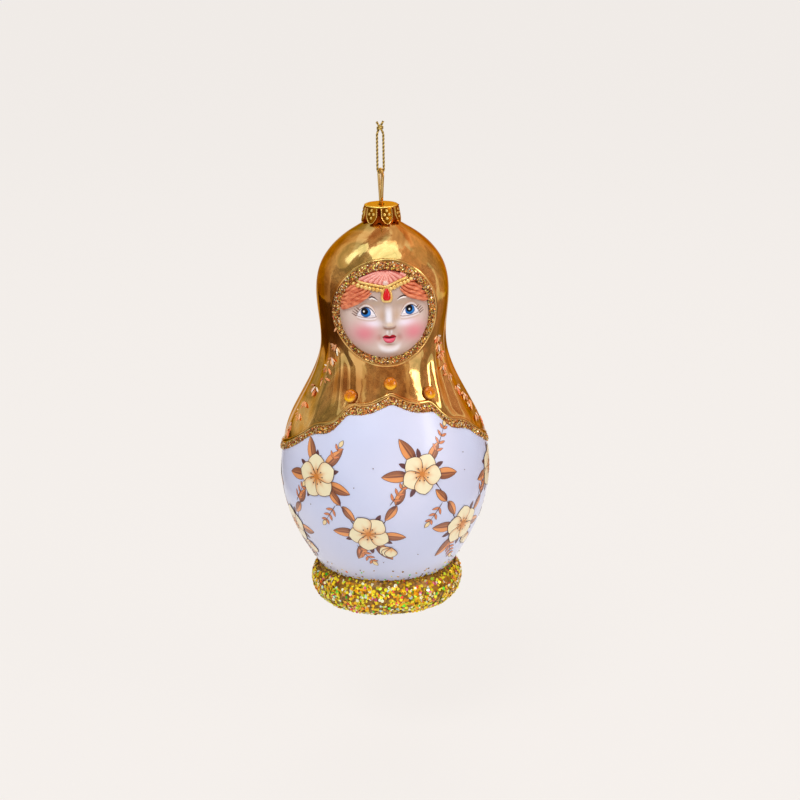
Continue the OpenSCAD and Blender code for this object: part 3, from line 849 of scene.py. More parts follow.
def spinOutline(name, outline, steps):
    clearSelection()
    bpy.ops.mesh.primitive_plane_add(size=mm, location=(0, 0, 0))
    piece = nameNew(name)
    bpy.ops.object.mode_set(mode="EDIT")
    bpy.ops.mesh.select_mode(type="VERT")
    bpy.ops.mesh.merge(type="CENTER")
    start = (outline[0][0] * mm, 0, (footZ + outline[0][1]) * mm)
    bpy.ops.transform.translate(value=start)
    for a, b in zip(outline, outline[1:]):
        step = ((b[0] - a[0]) * mm, 0, (b[1] - a[1]) * mm)
        bpy.ops.mesh.extrude_region_move(TRANSFORM_OT_translate={"value": step})
    bpy.ops.mesh.select_all(action="SELECT")
    bpy.ops.mesh.spin(steps=steps, angle=math.tau, center=(0, 0, 0), axis=(0, 0, 1))
    bpy.ops.mesh.select_all(action="SELECT")
    bpy.ops.mesh.remove_doubles(threshold=1e-6)
    bpy.ops.mesh.normals_make_consistent(inside=False)
    bpy.ops.object.mode_set(mode="OBJECT")
    return piece


def foldRelief(angle, height):
    rise = np.zeros_like(height)
    for topAngle, topHeight, footAngle, footHeight, depth, wide in foldSet:
        t = (height - footHeight) / (topHeight - footHeight)
        route = footAngle + (topAngle - footAngle) * np.clip(t, -0.3, 1.2)
        fade = ease(-0.25, 0.15, t) * (1 - ease(0.65, 1.1, t))
        for side in (-1, 1):
            far = (angle * side - route) * math.pi / 180 * glassRadius(height) / wide
            rise += depth * 1.4 * far * np.exp(-far * far) * fade
    return rise


def makeBody():
    body = spinOutline("glassBody", bodyOutline(), bodySet["columns"])
    points = readPoints(body)
    x, y, height = points.T
    angle = frontAngle(x, y)
    hem = hemHeight(angle)
    outer = (np.hypot(x, y) > glassRadius(height) - 0.1) & (height > bodySet["crease"] + 1)
    shawl = outer & (height > hem - 2)
    grow = np.where(shawl, foldRelief(angle, height) * ease(0.5, 4.0, height - hem), 0)
    far = np.hypot(x, height - faceHeight)
    grow *= ease(*bodySet["foldClear"], np.where(y < 0, far, 99))  # the folds keep clear of the face
    points[:, 0] += np.sin(np.radians(angle)) * grow
    points[:, 1] -= np.cos(np.radians(angle)) * grow
    under = outer & (y < 0) & (faceEdge(x, height - faceHeight) < 1.0)  # the glass dips under the face
    behind = onFace(x[under], height[under] - faceHeight)[:, 1] + bodySet["recess"]
    points[under, 1] = np.maximum(points[under, 1], behind)
    writePoints(body, points)
    dress(body, "doll", "gilded_glass", gilding, satinWhite, footGlue)
    middles = np.empty(len(body.data.polygons) * 3)
    body.data.polygons.foreach_get("center", middles)
    middles = fromFrame(middles.reshape(-1, 3))
    hem = hemHeight(frontAngle(middles[:, 0], middles[:, 1]))
    coats = np.where(middles[:, 2] < hem - bodySet["hemTuck"], 1, 0)
    coats = np.where(middles[:, 2] < bodySet["crease"] + 0.3, 2, coats).astype(np.int32)
    body.data.polygons.foreach_set("material_index", coats)
    smoothBelow(body, 40)
    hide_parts("glass_body")


makeBody()
print("glass body made")


# glue under the glitter: round the face, close to its painted edge, and along the hem

borderSet = {"across": -0.8, "up": 0.5, "radius": 14.35, "wide": 1.05, "thick": 0.5, "follow": 0.6,
             "steps": 260, "sides": 16}


def onBorder(turn, radius, lift):
    # on the glass or on the edge of the face, whichever stands further forward
    x = borderSet["across"] + radius * np.cos(turn)
    z = borderSet["up"] + radius * np.sin(turn)
    glass = np.sqrt(np.maximum(glassRadius(z + faceHeight) ** 2 - x * x, 0))
    face = np.where(faceEdge(x, z) < 0.995, -onFace(x, z)[..., 1], 0)
    return np.stack([x, -np.maximum(glass, face) - lift, z + faceHeight], axis=-1)


def bandPiece(name, points, node):
    # a closed band from rings of points, all round
    piece = meshPiece(name, points.reshape(-1, 3), ringFaces(*points.shape[:2]))
    tidyNormals(piece)
    bpy.ops.object.shade_smooth()
    dress(piece, "doll", "fine_glitter", copperGlue)
    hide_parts(node)
    return piece


def makeBorder():
    turns, around = np.meshgrid(fullTurn(borderSet["steps"]), fullTurn(borderSet["sides"]), indexing="ij")
    radius = borderSet["radius"] + borderSet["wide"] * np.cos(around)
    thick = borderSet["thick"] * np.sin(around)
    middle = onBorder(turns, np.full_like(radius, borderSet["radius"]), 0)[..., 1]
    points = onBorder(turns, radius, thick)
    follow = borderSet["follow"]  # share of the ground's shape that shows in the band
    points[..., 1] = points[..., 1] * follow + (middle - thick) * (1 - follow)
    return bandPiece("faceBorder", points, "face_glitter_border")


hemSet = {"drop": 1.15, "wide": 1.1, "thick": 0.36, "lift": 0.05, "steps": 480, "sides": 14}


def makeHem():
    angles = np.linspace(-180, 180, hemSet["steps"], endpoint=False)
    angle, around = np.meshgrid(angles, fullTurn(hemSet["sides"]), indexing="ij")
    height = hemHeight(angle) - hemSet["drop"] + hemSet["wide"] * np.cos(around)
    points = onGlass(angle, height, hemSet["lift"] + hemSet["thick"] * np.sin(around))
    return bandPiece("hemBorder", points, "hem_glitter_border")


faceBorder = makeBorder()
hemBorder = makeHem()
print("borders of the face and the hem made")


# rolled edges of the scarf and of the hem

rollSet = {"across": -0.6, "up": 0.4, "scarf": 15.9, "scarfThick": 0.8, "scarfSink": 0.5, "hemUp": 0.5,
           "hemThick": 0.75, "hemSink": 0.2, "steps": 360, "sides": 24}


def layRoll(name, angle, height, sink, thick):
    route = evenRoute(onGlass(angle, height, -sink), thick)
    roll = tubePiece(name, [route], rollSet["sides"], closed=True)
    dress(roll, "doll", "gilded_glass", gilding)


def makeRolls():
    turns = fullTurn(rollSet["steps"])
    x = rollSet["across"] + rollSet["scarf"] * np.cos(turns)
    height = faceHeight + rollSet["up"] + rollSet["scarf"] * np.sin(turns)
    angle = np.degrees(np.arcsin(x / glassRadius(height)))
    layRoll("scarfRoll", angle, height, rollSet["scarfSink"], rollSet["scarfThick"])
    angle = np.degrees(turns) - 180
    layRoll("hemRoll", angle, hemHeight(angle) + rollSet["hemUp"], rollSet["hemSink"], rollSet["hemThick"])


makeRolls()
print("rolled edges made")


# hair, diadem and drop

# strands of each lock from the parting outwards, as (x, z)
hairSet = {"thick": 0.66, "lift": 0.16, "waver": 0.1, "sides": 16, "strands": [
    [(-5.2, 7.4), (-6.4, 6.4), (-8.2, 5.3), (-10.4, 3.9), (-12.4, 2.8), (-13.7, 2.2)],
    [(-5.4, 8.2), (-7.0, 7.0), (-9.2, 5.7), (-11.6, 4.0), (-13.6, 2.9)],
    [(-5.9, 8.7), (-8.0, 7.5), (-10.2, 6.1), (-12.2, 4.6), (-13.7, 3.7)],
    [(-7.2, 8.9), (-9.2, 7.8), (-11.0, 6.6), (-12.6, 5.2), (-13.5, 4.6)],
    [(-8.4, 9.1), (-10.2, 8.1), (-11.8, 6.8), (-13.2, 5.4)],
    [(-9.6, 9.3), (-11.1, 8.3), (-12.8, 6.5)],
    [(-10.5, 9.6), (-11.6, 8.8), (-12.6, 7.6)],
    [(3.4, 8.3), (5.0, 7.0), (7.0, 5.9), (9.6, 4.8), (12.3, 4.0)],
    [(3.7, 9.1), (5.6, 7.8), (8.0, 6.6), (10.4, 5.5), (12.4, 4.8)],
    [(4.4, 9.7), (6.6, 8.5), (8.8, 7.4), (11.0, 6.2), (12.2, 5.7)],
    [(5.6, 10.0), (7.6, 9.1), (9.6, 8.0), (11.8, 6.7)],
    [(6.8, 10.4), (8.6, 9.6), (10.2, 8.7), (11.4, 7.8)],
    [(7.8, 10.9), (9.2, 10.2), (10.8, 9.0)]]}
fanSet = {"root": (-0.6, 13.4), "ends": (-8.6, -7.2, -5.7, -4.2, -2.8, -1.5, -0.3, 1.0, 2.4, 3.9, 5.4),
          "thick": 0.5, "arch": 0.5, "sink": 0.05, "span": (0.12, 0.97)}


def strandTube(points, thick, lift, wave):
    places = smoothRoute(np.array([(x, z, 0) for x, z in points], float), 28)[0]
    share = np.linspace(0, 1, len(places))
    z = places[:, 1] + hairSet["waver"] * np.sin(wave + 11 * share)
    swell = 0.12 + 0.88 * np.sin(math.pi * np.clip(0.03 + 0.8 * share, 0, 1)) ** 0.7
    return np.column_stack([onFace(places[:, 0], z, lift), thick * swell])


def makeHair():
    routes = [strandTube(strand, hairSet["thick"], hairSet["lift"], i)
              for i, strand in enumerate(hairSet["strands"])]
    dress(tubePiece("hairLocks", routes, hairSet["sides"]), "doll", "gilded_glass", hairPaint)
    routes = []
    rootX, rootZ = fanSet["root"]
    share = np.linspace(*fanSet["span"], 20)
    for end in fanSet["ends"]:
        x = rootX + (end - rootX) * share
        z = rootZ + (diademLine(end) + 0.3 - rootZ) * share
        z = z + fanSet["arch"] * np.sin(math.pi * share) * abs(end - rootX) / 8
        keep = faceEdge(x, z) < 0.95
        if keep.sum() > 3:
            thick = fanSet["thick"] * (0.5 + 0.75 * share)
            routes.append(np.column_stack([onFace(x, z, -fanSet["sink"]), thick])[keep])
    dress(tubePiece("hairFan", routes, hairSet["sides"]), "doll", "gilded_glass", fanPaint)


def ball(name, x, z, radius, lift):
    place = tuple(toFrame(onFace(np.array(float(x)), np.array(float(z)), lift)))
    clearSelection()
    bpy.ops.mesh.primitive_uv_sphere_add(segments=20, ring_count=12, radius=radius * mm, location=place)
    piece = nameNew(name)
    bpy.ops.object.transform_apply()
    bpy.ops.object.shade_smooth()
    return piece


def makeDiadem():
    x = np.linspace(*diademSet["ends"], 70)
    z = np.convolve(np.pad(diademLine(x), 4, mode="edge"), np.ones(9) / 9, mode="valid")
    band = [tubePiece("diademBand", [evenRoute(onFace(x, z, diademSet["lift"]), diademSet["thick"])], 16)]
    for first, last, count in (diademSet["leftBeads"], diademSet["rightBeads"]):
        for x in np.linspace(first, last, count):
            size = diademSet["bead"] * (1 + diademSet["uneven"] * math.sin(9 * x))
            band.append(ball("bead", x, diademLine(x) - diademSet["beadDrop"], size, diademSet["beadLift"]))
    dress(joinPieces("diadem", band), "doll", "gilded_glass", goldPaint)
    dress(ball("diademPearl", *diademSet["pearl"]), "doll", "gilded_glass", pearlPaint)


dropSet = {"across": -0.7, "low": 5.2, "high": 9.0, "wide": 1.12, "lift": 0.8, "sink": 0.2, "bezel": 0.42,
           "bezelLift": 0.15, "gap": 0.3, "rows": 24, "columns": 28}


def dropWidth(t):
    # teardrop: round at the foot and drawn to a blunt point at the top
    swell = np.sqrt(np.maximum(0, np.sin(math.pi * np.clip(t, 0, 1) ** 0.7)))
    return dropSet["wide"] * swell * (1.08 - 0.35 * t)


def makeDrop():
    clearSelection()
    bpy.ops.mesh.primitive_uv_sphere_add(segments=dropSet["columns"], ring_count=dropSet["rows"], radius=1)
    drop = nameNew("redDrop")
    u, w, v = plainPoints(drop).T
    t = np.arccos(np.clip(-v, -1, 1)) / math.pi
    ring = np.maximum(np.hypot(u, w), 1e-6)
    half = np.where(ring > 1e-4, dropWidth(t), 0)
    tall = dropSet["high"] - dropSet["low"]
    base = onFace(np.full_like(t, dropSet["across"]), dropSet["low"] + tall * t)
    forward = half / dropSet["wide"] * dropSet["lift"] * w / ring
    x, y = dropSet["across"] + half * u / ring, base[:, 1] + forward - dropSet["sink"]
    writePoints(drop, np.column_stack([x, y, base[:, 2]]))
    bpy.ops.object.shade_smooth()
    dress(drop, "doll", "gilded_glass", redPaint)
    t = np.linspace(0.02, 0.98, 30)
    x = dropWidth(t) + dropSet["gap"]
    z = dropSet["low"] - dropSet["gap"] + (tall + dropSet["gap"]) * t
    rimX = dropSet["across"] + np.concatenate([x, -x[::-1]])
    rim = evenRoute(onFace(rimX, np.concatenate([z, z[::-1]]), dropSet["bezelLift"]), dropSet["bezel"])
    dress(tubePiece("dropBezel", [rim], 14, closed=True), "doll", "gilded_glass", goldPaint)


makeHair()
makeDiadem()
makeDrop()
print("hair, diadem and drop made")


# glitter: small six-sided flakes strewn over the coats of glue

flakeGolds = [((255, 236, 50), 8), ((255, 208, 26), 7), ((250, 172, 14), 4), ((255, 168, 44), 3),
              ((255, 252, 206), 4), ((196, 240, 50), 1.8), ((92, 232, 60), 1.0), ((250, 92, 60), 1.2),
              ((252, 112, 150), 0.8), ((206, 244, 236), 0.8), ((150, 106, 8), 2)]
flakeCoppers = [((240, 176, 86), 5), ((216, 136, 64), 5), ((172, 100, 46), 4), ((252, 220, 134), 5),
                ((255, 244, 206), 3.5), ((206, 226, 90), 0.8), ((240, 100, 64), 1.0), ((112, 62, 30), 5)]
# darker bronze flakes, painted as shade in the crease over the foot
creaseShadeBronzes = [((150, 106, 10), 4), ((116, 82, 8), 2), ((206, 158, 20), 3), ((255, 224, 50), 3),
                ((255, 176, 60), 2), ((92, 232, 60), 0.5), ((250, 112, 60), 0.7)]
glitterSet = [
    {"name": "footFlakes", "coat": "foot", "count": 2700, "size": (0.46, 0.64), "thick": 0.06, "lift": 0.14,
     "tilt": 30, "colours": flakeGolds, "foil": coarseFoil, "slot": "coarse_glitter", "seed": 11},
    {"name": "faceFlakes", "coat": "face", "count": 2600, "size": (0.16, 0.28), "thick": 0.05, "lift": 0.14,
     "tilt": 42, "colours": flakeCoppers, "foil": flakeFoil, "slot": "fine_glitter", "seed": 12},
    {"name": "hemFlakes", "coat": "hem", "count": 5600, "size": (0.16, 0.28), "thick": 0.05, "lift": 0.1,
     "tilt": 42, "colours": flakeCoppers, "foil": flakeFoil, "slot": "fine_glitter", "seed": 13}]
coatSet = {"footSkin": 0.42, "facing": 0.1}  # least distance from the glass, least share turned outwards


def shapeOf():
    # corners and faces of the primitive just added, which is then taken away
    shape = bpy.context.object
    corners = np.array([v.co for v in shape.data.vertices])
    faces = [tuple(p.vertices) for p in shape.data.polygons]
    bpy.data.objects.remove(shape)
    return corners, faces


clearSelection()
bpy.ops.mesh.primitive_cylinder_add(vertices=6, radius=1, depth=1)
flakeShape = shapeOf()
bpy.ops.mesh.primitive_uv_sphere_add(segments=8, ring_count=6, radius=1)
grainShape = shapeOf()


def copyShape(name, shape, places, up, along, sizes, colours):
    # one copy at each place; sizes are along, across and up
    corners, faces = shape
    side = unit(along - up * np.sum(along * up, axis=1)[:, None])
    across = np.cross(up, side)
    points = places[:, None, :]
    for k, way in enumerate((side, across, up)):
        points = points + corners[None, :, k:k + 1] * sizes[:, k][:, None, None] * way[:, None, :]
    step = len(corners)
    allFaces = [tuple(i * step + k for k in face) for i in range(len(places)) for face in faces]
    shades = np.repeat(np.clip(colours, 0, 1), step, axis=0)
    return meshPiece(name, points.reshape(-1, 3), allFaces, shades)


def pickColours(rng, palette, count):
    shades = np.array([tone(*colour) for colour, share in palette])
    shares = np.array([share for colour, share in palette])
    chosen = shades[rng.choice(len(shades), count, p=shares / shares.sum())]
    return chosen * rng.uniform(0.6, 1.35, (count, 1))


def outerTriangles(coat):
    # triangles of a coat that face away from the glass
    mesh = {"face": faceBorder, "hem": hemBorder, "foot": frame["nodes"]["foot_glitter_coat"]}[coat].data
    mesh.calc_loop_triangles()
    spots = np.array([v.co for v in mesh.vertices])
    corners = spots[np.array([t.vertices for t in mesh.loop_triangles])]
    middle = corners.mean(axis=1)
    if coat == "foot":
        far = np.array([glassTree.find_nearest(Vector(c))[3] for c in middle])
        return fromFrame(corners[far > coatSet["footSkin"] * mm])
    square = np.cross(corners[:, 1] - corners[:, 0], corners[:, 2] - corners[:, 0])
    out = middle * (1, 1, 0)
    facing = np.sum(square * out, axis=1) / np.linalg.norm(square, axis=1) / np.linalg.norm(out, axis=1)
    return fromFrame(corners[facing > coatSet["facing"]])


def strewFlakes(flakes, rng, places, out):
    count = len(places)
    up = unit(out + rng.normal(size=(count, 3)) * math.tan(math.radians(flakes["tilt"])) * 0.5)
    size = rng.uniform(*flakes["size"], count)
    sizes = np.column_stack([size, size, np.full(count, flakes["thick"])])
    places = places + out * flakes["lift"] * rng.random((count, 1))
    colours = pickColours(rng, flakes["colours"], count)
    piece = copyShape(flakes["name"], flakeShape, places, up, rng.normal(size=(count, 3)), sizes, colours)
    dress(piece, "doll", flakes["slot"], flakes["foil"])


def strewOnCoat(flakes):
    rng = np.random.default_rng(flakes["seed"])
    corners = outerTriangles(flakes["coat"])
    square = np.cross(corners[:, 1] - corners[:, 0], corners[:, 2] - corners[:, 0])
    area = np.linalg.norm(square, axis=1)
    chosen = rng.choice(len(area), flakes["count"], p=area / area.sum())
    a, b = rng.random((2, flakes["count"], 1))
    a, b = np.where(a + b > 1, 1 - a, a), np.where(a + b > 1, 1 - b, b)
    tri = corners[chosen]
    places = tri[:, 0] + a * (tri[:, 1] - tri[:, 0]) + b * (tri[:, 2] - tri[:, 0])
    strewFlakes(flakes, rng, places, square[chosen] / area[chosen][:, None])


for flakes in glitterSet:
    strewOnCoat(flakes)

strayFlakes = {"name": "strayFlakes", "count": 900, "size": (0.22, 0.36), "thick": 0.05, "lift": 0.1,
               "tilt": 20, "colours": creaseShadeBronzes, "foil": coarseFoil, "slot": "coarse_glitter", "seed": 14,
               "low": 10.6, "band": 2.2, "stray": 2.0, "strayShare": 0.25}


def strewStrays(flakes):
    # flakes that fill the crease over the foot, and a thin line of them that strayed up the belly; their darker
    # bronze colours are painted shade in the crease
    rng = np.random.default_rng(flakes["seed"])
    count = flakes["count"]
    angle = rng.uniform(-180, 180, count)
    height = flakes["low"] + flakes["band"] * rng.random(count)
    strayed = rng.random(count) < flakes["strayShare"]
    height = height + np.where(strayed, rng.exponential(flakes["stray"], count), 0)
    places = onGlass(angle, height, flakes["thick"])
    strewFlakes(flakes, rng, places, outOfGlass(angle, height))


strewStrays(strayFlakes)
for node, material in (("foot_glitter_coat", footGlue), ("hanger_wire", wireMetal)):
    frame["nodes"][node].data.materials.clear()
    frame["nodes"][node].data.materials.append(material)
print("glitter strewn")


# raised dabs of paint, in sprigs down both sides of the shawl

dabColours = [((248, 156, 92), 5), ((252, 182, 126), 3), ((255, 228, 204), 2), ((236, 122, 66), 2)]
dabSet = {"routes": [[(-46, 95), (-56, 84), (-64, 75), (-74, 66), (-83, 57)],
                     [(52, 88), (60, 80), (67, 72), (75, 64), (84, 55)]],  # angle and height
          "sprays": 11, "dabs": 6, "size": (1.15, 0.34, 0.22), "reach": 1.5, "spread": 65,
          "lift": 0.1, "scatter": (1.5, 0.6), "lean": 25, "sway": 8, "seed": 21}


def makeDabs():
    rng = np.random.default_rng(dabSet["seed"])
    places, ups, ways = [], [], []
    for route in dabSet["routes"]:
        route = np.array(route, float)
        for share in np.linspace(0, 1, dabSet["sprays"]):
            spot = share * (len(route) - 1)
            angle = np.interp(spot, range(len(route)), route[:, 0]) + rng.normal() * dabSet["scatter"][0]
            height = np.interp(spot, range(len(route)), route[:, 1]) + rng.normal() * dabSet["scatter"][1]
            lean = rng.normal() * dabSet["lean"]
            for k in range(dabSet["dabs"]):
                fan = dabSet["spread"] * (2 * k / (dabSet["dabs"] - 1) - 1)
                turn = math.radians(lean + fan + rng.normal() * dabSet["sway"])
                far = dabSet["reach"] * (0.7 + 0.9 * rng.random())
                level = height - far * math.cos(turn)
                across = angle + math.degrees(far * math.sin(turn) / glassRadius(level))
                place = onGlass(across, level, dabSet["lift"])
                places.append(place)
                ups.append(outOfGlass(across, level))
                ways.append(place - onGlass(angle, height, dabSet["lift"]))
    sizes = np.array(dabSet["size"]) * rng.uniform(0.7, 1.2, (len(places), 1))
    colours = pickColours(rng, dabColours, len(places))
    places, ups, ways = np.array(places), np.array(ups), np.array(ways)
    piece = copyShape("paintDabs", grainShape, places, ups, ways, sizes, colours)
    pick(piece)
    bpy.ops.object.shade_smooth()
    dress(piece, "doll", "gilded_glass", dabPaint)


makeDabs()
print("dabs made")


# flower transfer on the belly: a garland of plain five-petalled blossoms, leaves and sprigs

transferSet = {"middle": 34.5, "middleSway": 6.0, "wave": 7.5, "waveSway": 2.0, "waves": 6, "vine": 0.2,
               "petal": (3.0, 6.4), "centre": 0.9, "stamens": 9, "stamen": (0.11, 1.3), "anther": (0.24, 0.5),
               "leaf": (1.55, 7.4), "leafStart": 4.2, "tip": (0.75, 3.4), "tipStart": 4.6,
               "sprigUp": 10.5, "sprigDown": 8, "sprigLeast": 4, "stem": 0.13, "sprigLeaf": (0.36, 2.6),
               "bud": (0.62, 2.2), "specks": 26, "speck": (0.18, 0.4), "speckSpan": (20, 58),
               "hemClear": 2.2, "outline": 0.2, "thick": 0.03, "lift": 0.04, "step": 0.014, "seed": 31}
transferInk = {"line": (86, 48, 46), "petalEdge": (247, 236, 198), "petalRoot": (232, 160, 84),
               "centre": (214, 132, 52), "leaf": (236, 156, 92), "leafDark": (104, 52, 48),
               "bud": (244, 218, 164), "sprig": (222, 134, 84), "shade": (98, 56, 60)}
transferParts = {"points": [], "faces": [], "colours": []}
glassLength = pathLengths(np.column_stack([outlineRadii, outlineHeights]))


def climb(height, up):
    # the height after a way up along the curved glass
    return np.interp(np.interp(height, outlineHeights, glassLength) + up, glassLength, outlineHeights)


def onBelly(spot, u, v, lift):
    # from a flat drawing at a spot (angle, height, turn) to the curved glass
    angle, height, turn = spot
    c, s = math.cos(math.radians(turn)), math.sin(math.radians(turn))
    placed = climb(height, u * s + v * c)
    return onGlass(angle + np.degrees((u * c - v * s) / glassRadius(placed)), placed, lift)


def drawPatch(spot, wide, tall, layer, colourAt, start=0.0, shape=0.8, margin=0.0, rows=10, columns=7):
    # a leaf or petal: from start upwards, widest where shape says
    t, s = np.meshgrid(np.linspace(0, 1, rows), np.linspace(-1, 1, columns), indexing="ij")
    half = wide * np.sin(math.pi * np.clip(t, 0.001, 0.999) ** shape) ** 0.75
    half = half + margin * (0.4 + 0.6 * np.sin(math.pi * t))
    v = start - margin + (tall + 2 * margin) * t
    lift = transferSet["lift"] + transferSet["step"] * layer
    first = sum(len(points) for points in transferParts["points"])
    transferParts["points"].append(onBelly(spot, s * half, v, lift).reshape(-1, 3))
    shades = colourAt(t.ravel()[:, None], s.ravel()[:, None])
    transferParts["colours"].append(shades * np.ones((rows * columns, 3)))
    for i in range(rows - 1):
        for k in range(columns - 1):
            a = first + i * columns + k
            transferParts["faces"].append((a, a + 1, a + columns + 1, a + columns))


def inkOf(name):
    shade = np.array(tone(*transferInk[name]))
    return lambda t, s: shade


def drawInked(spot, wide, tall, layer, ink, start, shape, margin, rows=10, columns=7):
    # a filled patch over a dark one that shows as its outline
    drawPatch(spot, wide, tall, layer, inkOf("line"), start, shape, margin, rows, columns)
    drawPatch(spot, wide, tall, layer + 1, ink, start, shape, 0, rows, columns)


def petalInk(t, s):
    root = ease(0.55, 0.0, t)
    vein = 0.5 * np.exp(-(s / 0.12) ** 2) * ease(0.75, 0.2, t)
    rim = 0.5 * ease(0.6, 1.0, np.abs(s)) * ease(0.95, 0.5, t)
    return blend(transferInk["petalEdge"], transferInk["petalRoot"], np.clip(root + vein + rim, 0, 1))


def leafInk(t, s):
    shade = np.clip(0.75 * ease(-0.1, 0.5, s) + 0.5 * ease(0.4, 0.0, t) + np.exp(-(s / 0.12) ** 2), 0, 1)
    return blend(transferInk["leaf"], transferInk["leafDark"], shade)


def drawLeaf(angle, height, turn, scale, layer, start=0.0):
    wide, tall = (size * scale for size in transferSet["leaf"])
    spot = (angle, height, turn)
    drawPatch(spot, wide, tall, layer, inkOf("line"), start, 0.85, transferSet["outline"] * 0.7)
    drawPatch(spot, wide, tall, layer + 1, leafInk, start, 0.85, columns=9)


def drawBlossom(angle, height, turn, scale, petals=5, spread=72.0):
    wide, tall = (size * scale for size in transferSet["petal"])
    for k in range(petals):
        spot = (angle, height, turn + spread * (k - (petals - 1) / 2))
        drawInked(spot, wide, tall, 6 + 2 * k, petalInk, 0.1, 1.25, transferSet["outline"], 12, 9)
    if petals == 5:  # an open blossom shows its centre and stamens
        centre = transferSet["centre"] * scale
        drawPatch((angle, height, turn), centre, 2 * centre, 18, inkOf("centre"), -centre, 1.0)
        wide, tall = transferSet["stamen"]
        for k in range(transferSet["stamens"]):
            spot = (angle, height, turn + 360 * k / transferSet["stamens"])
            drawPatch(spot, wide, tall * scale, 17, inkOf("centre"), 0.8 * scale, 0.9, 0, 5, 3)
            drawPatch(spot, *transferSet["anther"], 19, inkOf("line"), 1.9 * scale, 1.0, 0, 5, 5)


def drawLine(points, wide, ink, layer):
    points = np.array(points, float)
    for a, b in zip(points, points[1:]):
        across = math.radians(b[0] - a[0]) * glassRadius(a[1])
        up = np.interp(b[1], outlineHeights, glassLength) - np.interp(a[1], outlineHeights, glassLength)
        spot = (a[0], a[1], math.degrees(math.atan2(-across, up)))
        drawPatch(spot, wide, math.hypot(across, up) * 1.15, layer, inkOf(ink), -0.1, 0.5, 0, 4, 3)


def drawSprig(angle, height, turn, length, pairs):
    # a thin stem with pairs of small leaves and a bud at its tip
    drawPatch((angle, height, turn), transferSet["stem"], length, 1, inkOf("line"), 0, 0.5, 0, 12, 3)
    c, s = math.cos(math.radians(turn)), math.sin(math.radians(turn))
    wide, tall = transferSet["sprigLeaf"]
    for k in range(pairs):
        share = (k + 0.8) / (pairs + 0.3)
        up = length * share
        placed = climb(height, up * c)
        at = angle + math.degrees(-up * s / glassRadius(placed))
        for side in (-1, 1):
            spot = (at, placed, turn + side * 48)
            drawInked(spot, wide, tall - 0.9 * share, 2, inkOf("sprig"), 0.1, 0.85, 0.1, 7, 5)
    drawInked((angle, height, turn), *transferSet["bud"], 4, inkOf("bud"), length - 0.3, 0.9, 0.14)


def garlandHeight(angle):
    sway = math.cos(math.radians(angle))
    middle = transferSet["middle"] + transferSet["middleSway"] * sway
    wave = transferSet["wave"] + transferSet["waveSway"] * sway
    return middle + wave * math.sin(math.radians(angle * transferSet["waves"]))


def drawBunch(rng, angle, height, crest, room):
    # a blossom among leaves and dark leaf tips; what would cross the hem is left out
    down = 0 if crest > 0 else 180
    turn = 360 * rng.random()
    scale = rng.uniform(0.92, 1.12)
    start = transferSet["leafStart"] * scale
    for side in (-100, -35, 28, 95):
        lean = side + down + rng.normal() * 8
        size = rng.uniform(0.9, 1.15)
        reach = start + transferSet["leaf"][1] * size
        if reach * math.cos(math.radians(lean)) < room:
            drawLeaf(angle, height, lean, size, 1, start)
    wide, tall = transferSet["tip"]
    start = transferSet["tipStart"] * scale
    for side in (-70, 5, 62, 150):
        lean = side + down
        if (start + tall) * math.cos(math.radians(lean)) < room:
            drawPatch((angle, height, lean), wide, tall, 0, inkOf("shade"), start, 0.9)
    drawBlossom(angle, height, turn, scale)


def drawGarland(rng):
    vine = [(angle, garlandHeight(angle)) for angle in np.arange(-180, 181, 2.5)]
    drawLine(vine, transferSet["vine"], "line", 0)
    half = 180 / transferSet["waves"]
    for k in range(2 * transferSet["waves"]):
        angle = -180 + half * (k + 0.5)
        height = garlandHeight(angle)
        crest = 1 if height > garlandHeight(angle + half) else -1
        room = hemHeight(angle) - transferSet["hemClear"] - height
        drawBunch(rng, angle, height, crest, room)
        between = angle + half / 2
        level = garlandHeight(between)
        drawLeaf(between, level, 40 * crest + rng.normal() * 6, 0.8, 1, 0.2)
        drawLeaf(between + 1, level, 180 + 40 * crest + rng.normal() * 6, 0.8, 1, 0.2)
        lean = (0 if crest > 0 else 180) - 28 * crest + rng.normal() * 5
        length = transferSet["sprigDown"]
        if crest > 0:
            length = min(transferSet["sprigUp"], (room - 7) / math.cos(math.radians(lean)))
        if length > transferSet["sprigLeast"]:
            drawSprig(angle + 8 * crest, height + 4.5 * crest, lean, length, 4 if length > 7 else 2)
        drawSprig(between - 3, level, 90 * crest + 55, 7.5, 3)
        if crest < 0:
            drawBlossom(angle + 13, height - 5, 150, 0.62, 3, 26)
    for speck in range(transferSet["specks"]):
        spot = (rng.uniform(-180, 180), rng.uniform(*transferSet["speckSpan"]), 0)
        drawPatch(spot, *transferSet["speck"], 20, inkOf("line"), 0, 1.0, 0, 5, 5)


def makeTransfer():
    drawGarland(np.random.default_rng(transferSet["seed"]))
    points = np.vstack(transferParts["points"])
    piece = meshPiece("flowerTransfer", points, transferParts["faces"], np.vstack(transferParts["colours"]))
    pick(piece)
    film = piece.modifiers.new("film", "SOLIDIFY")
    film.thickness = transferSet["thick"] * mm
    film.offset = 1
    bpy.ops.object.modifier_apply(modifier="film")
    smoothBelow(piece, 30)
    dress(piece, "doll", "gilded_glass", transferPaint)


makeTransfer()
print("flower transfer made")


# stamped cap: tongue-shaped panels with four dots each, and pleats between them

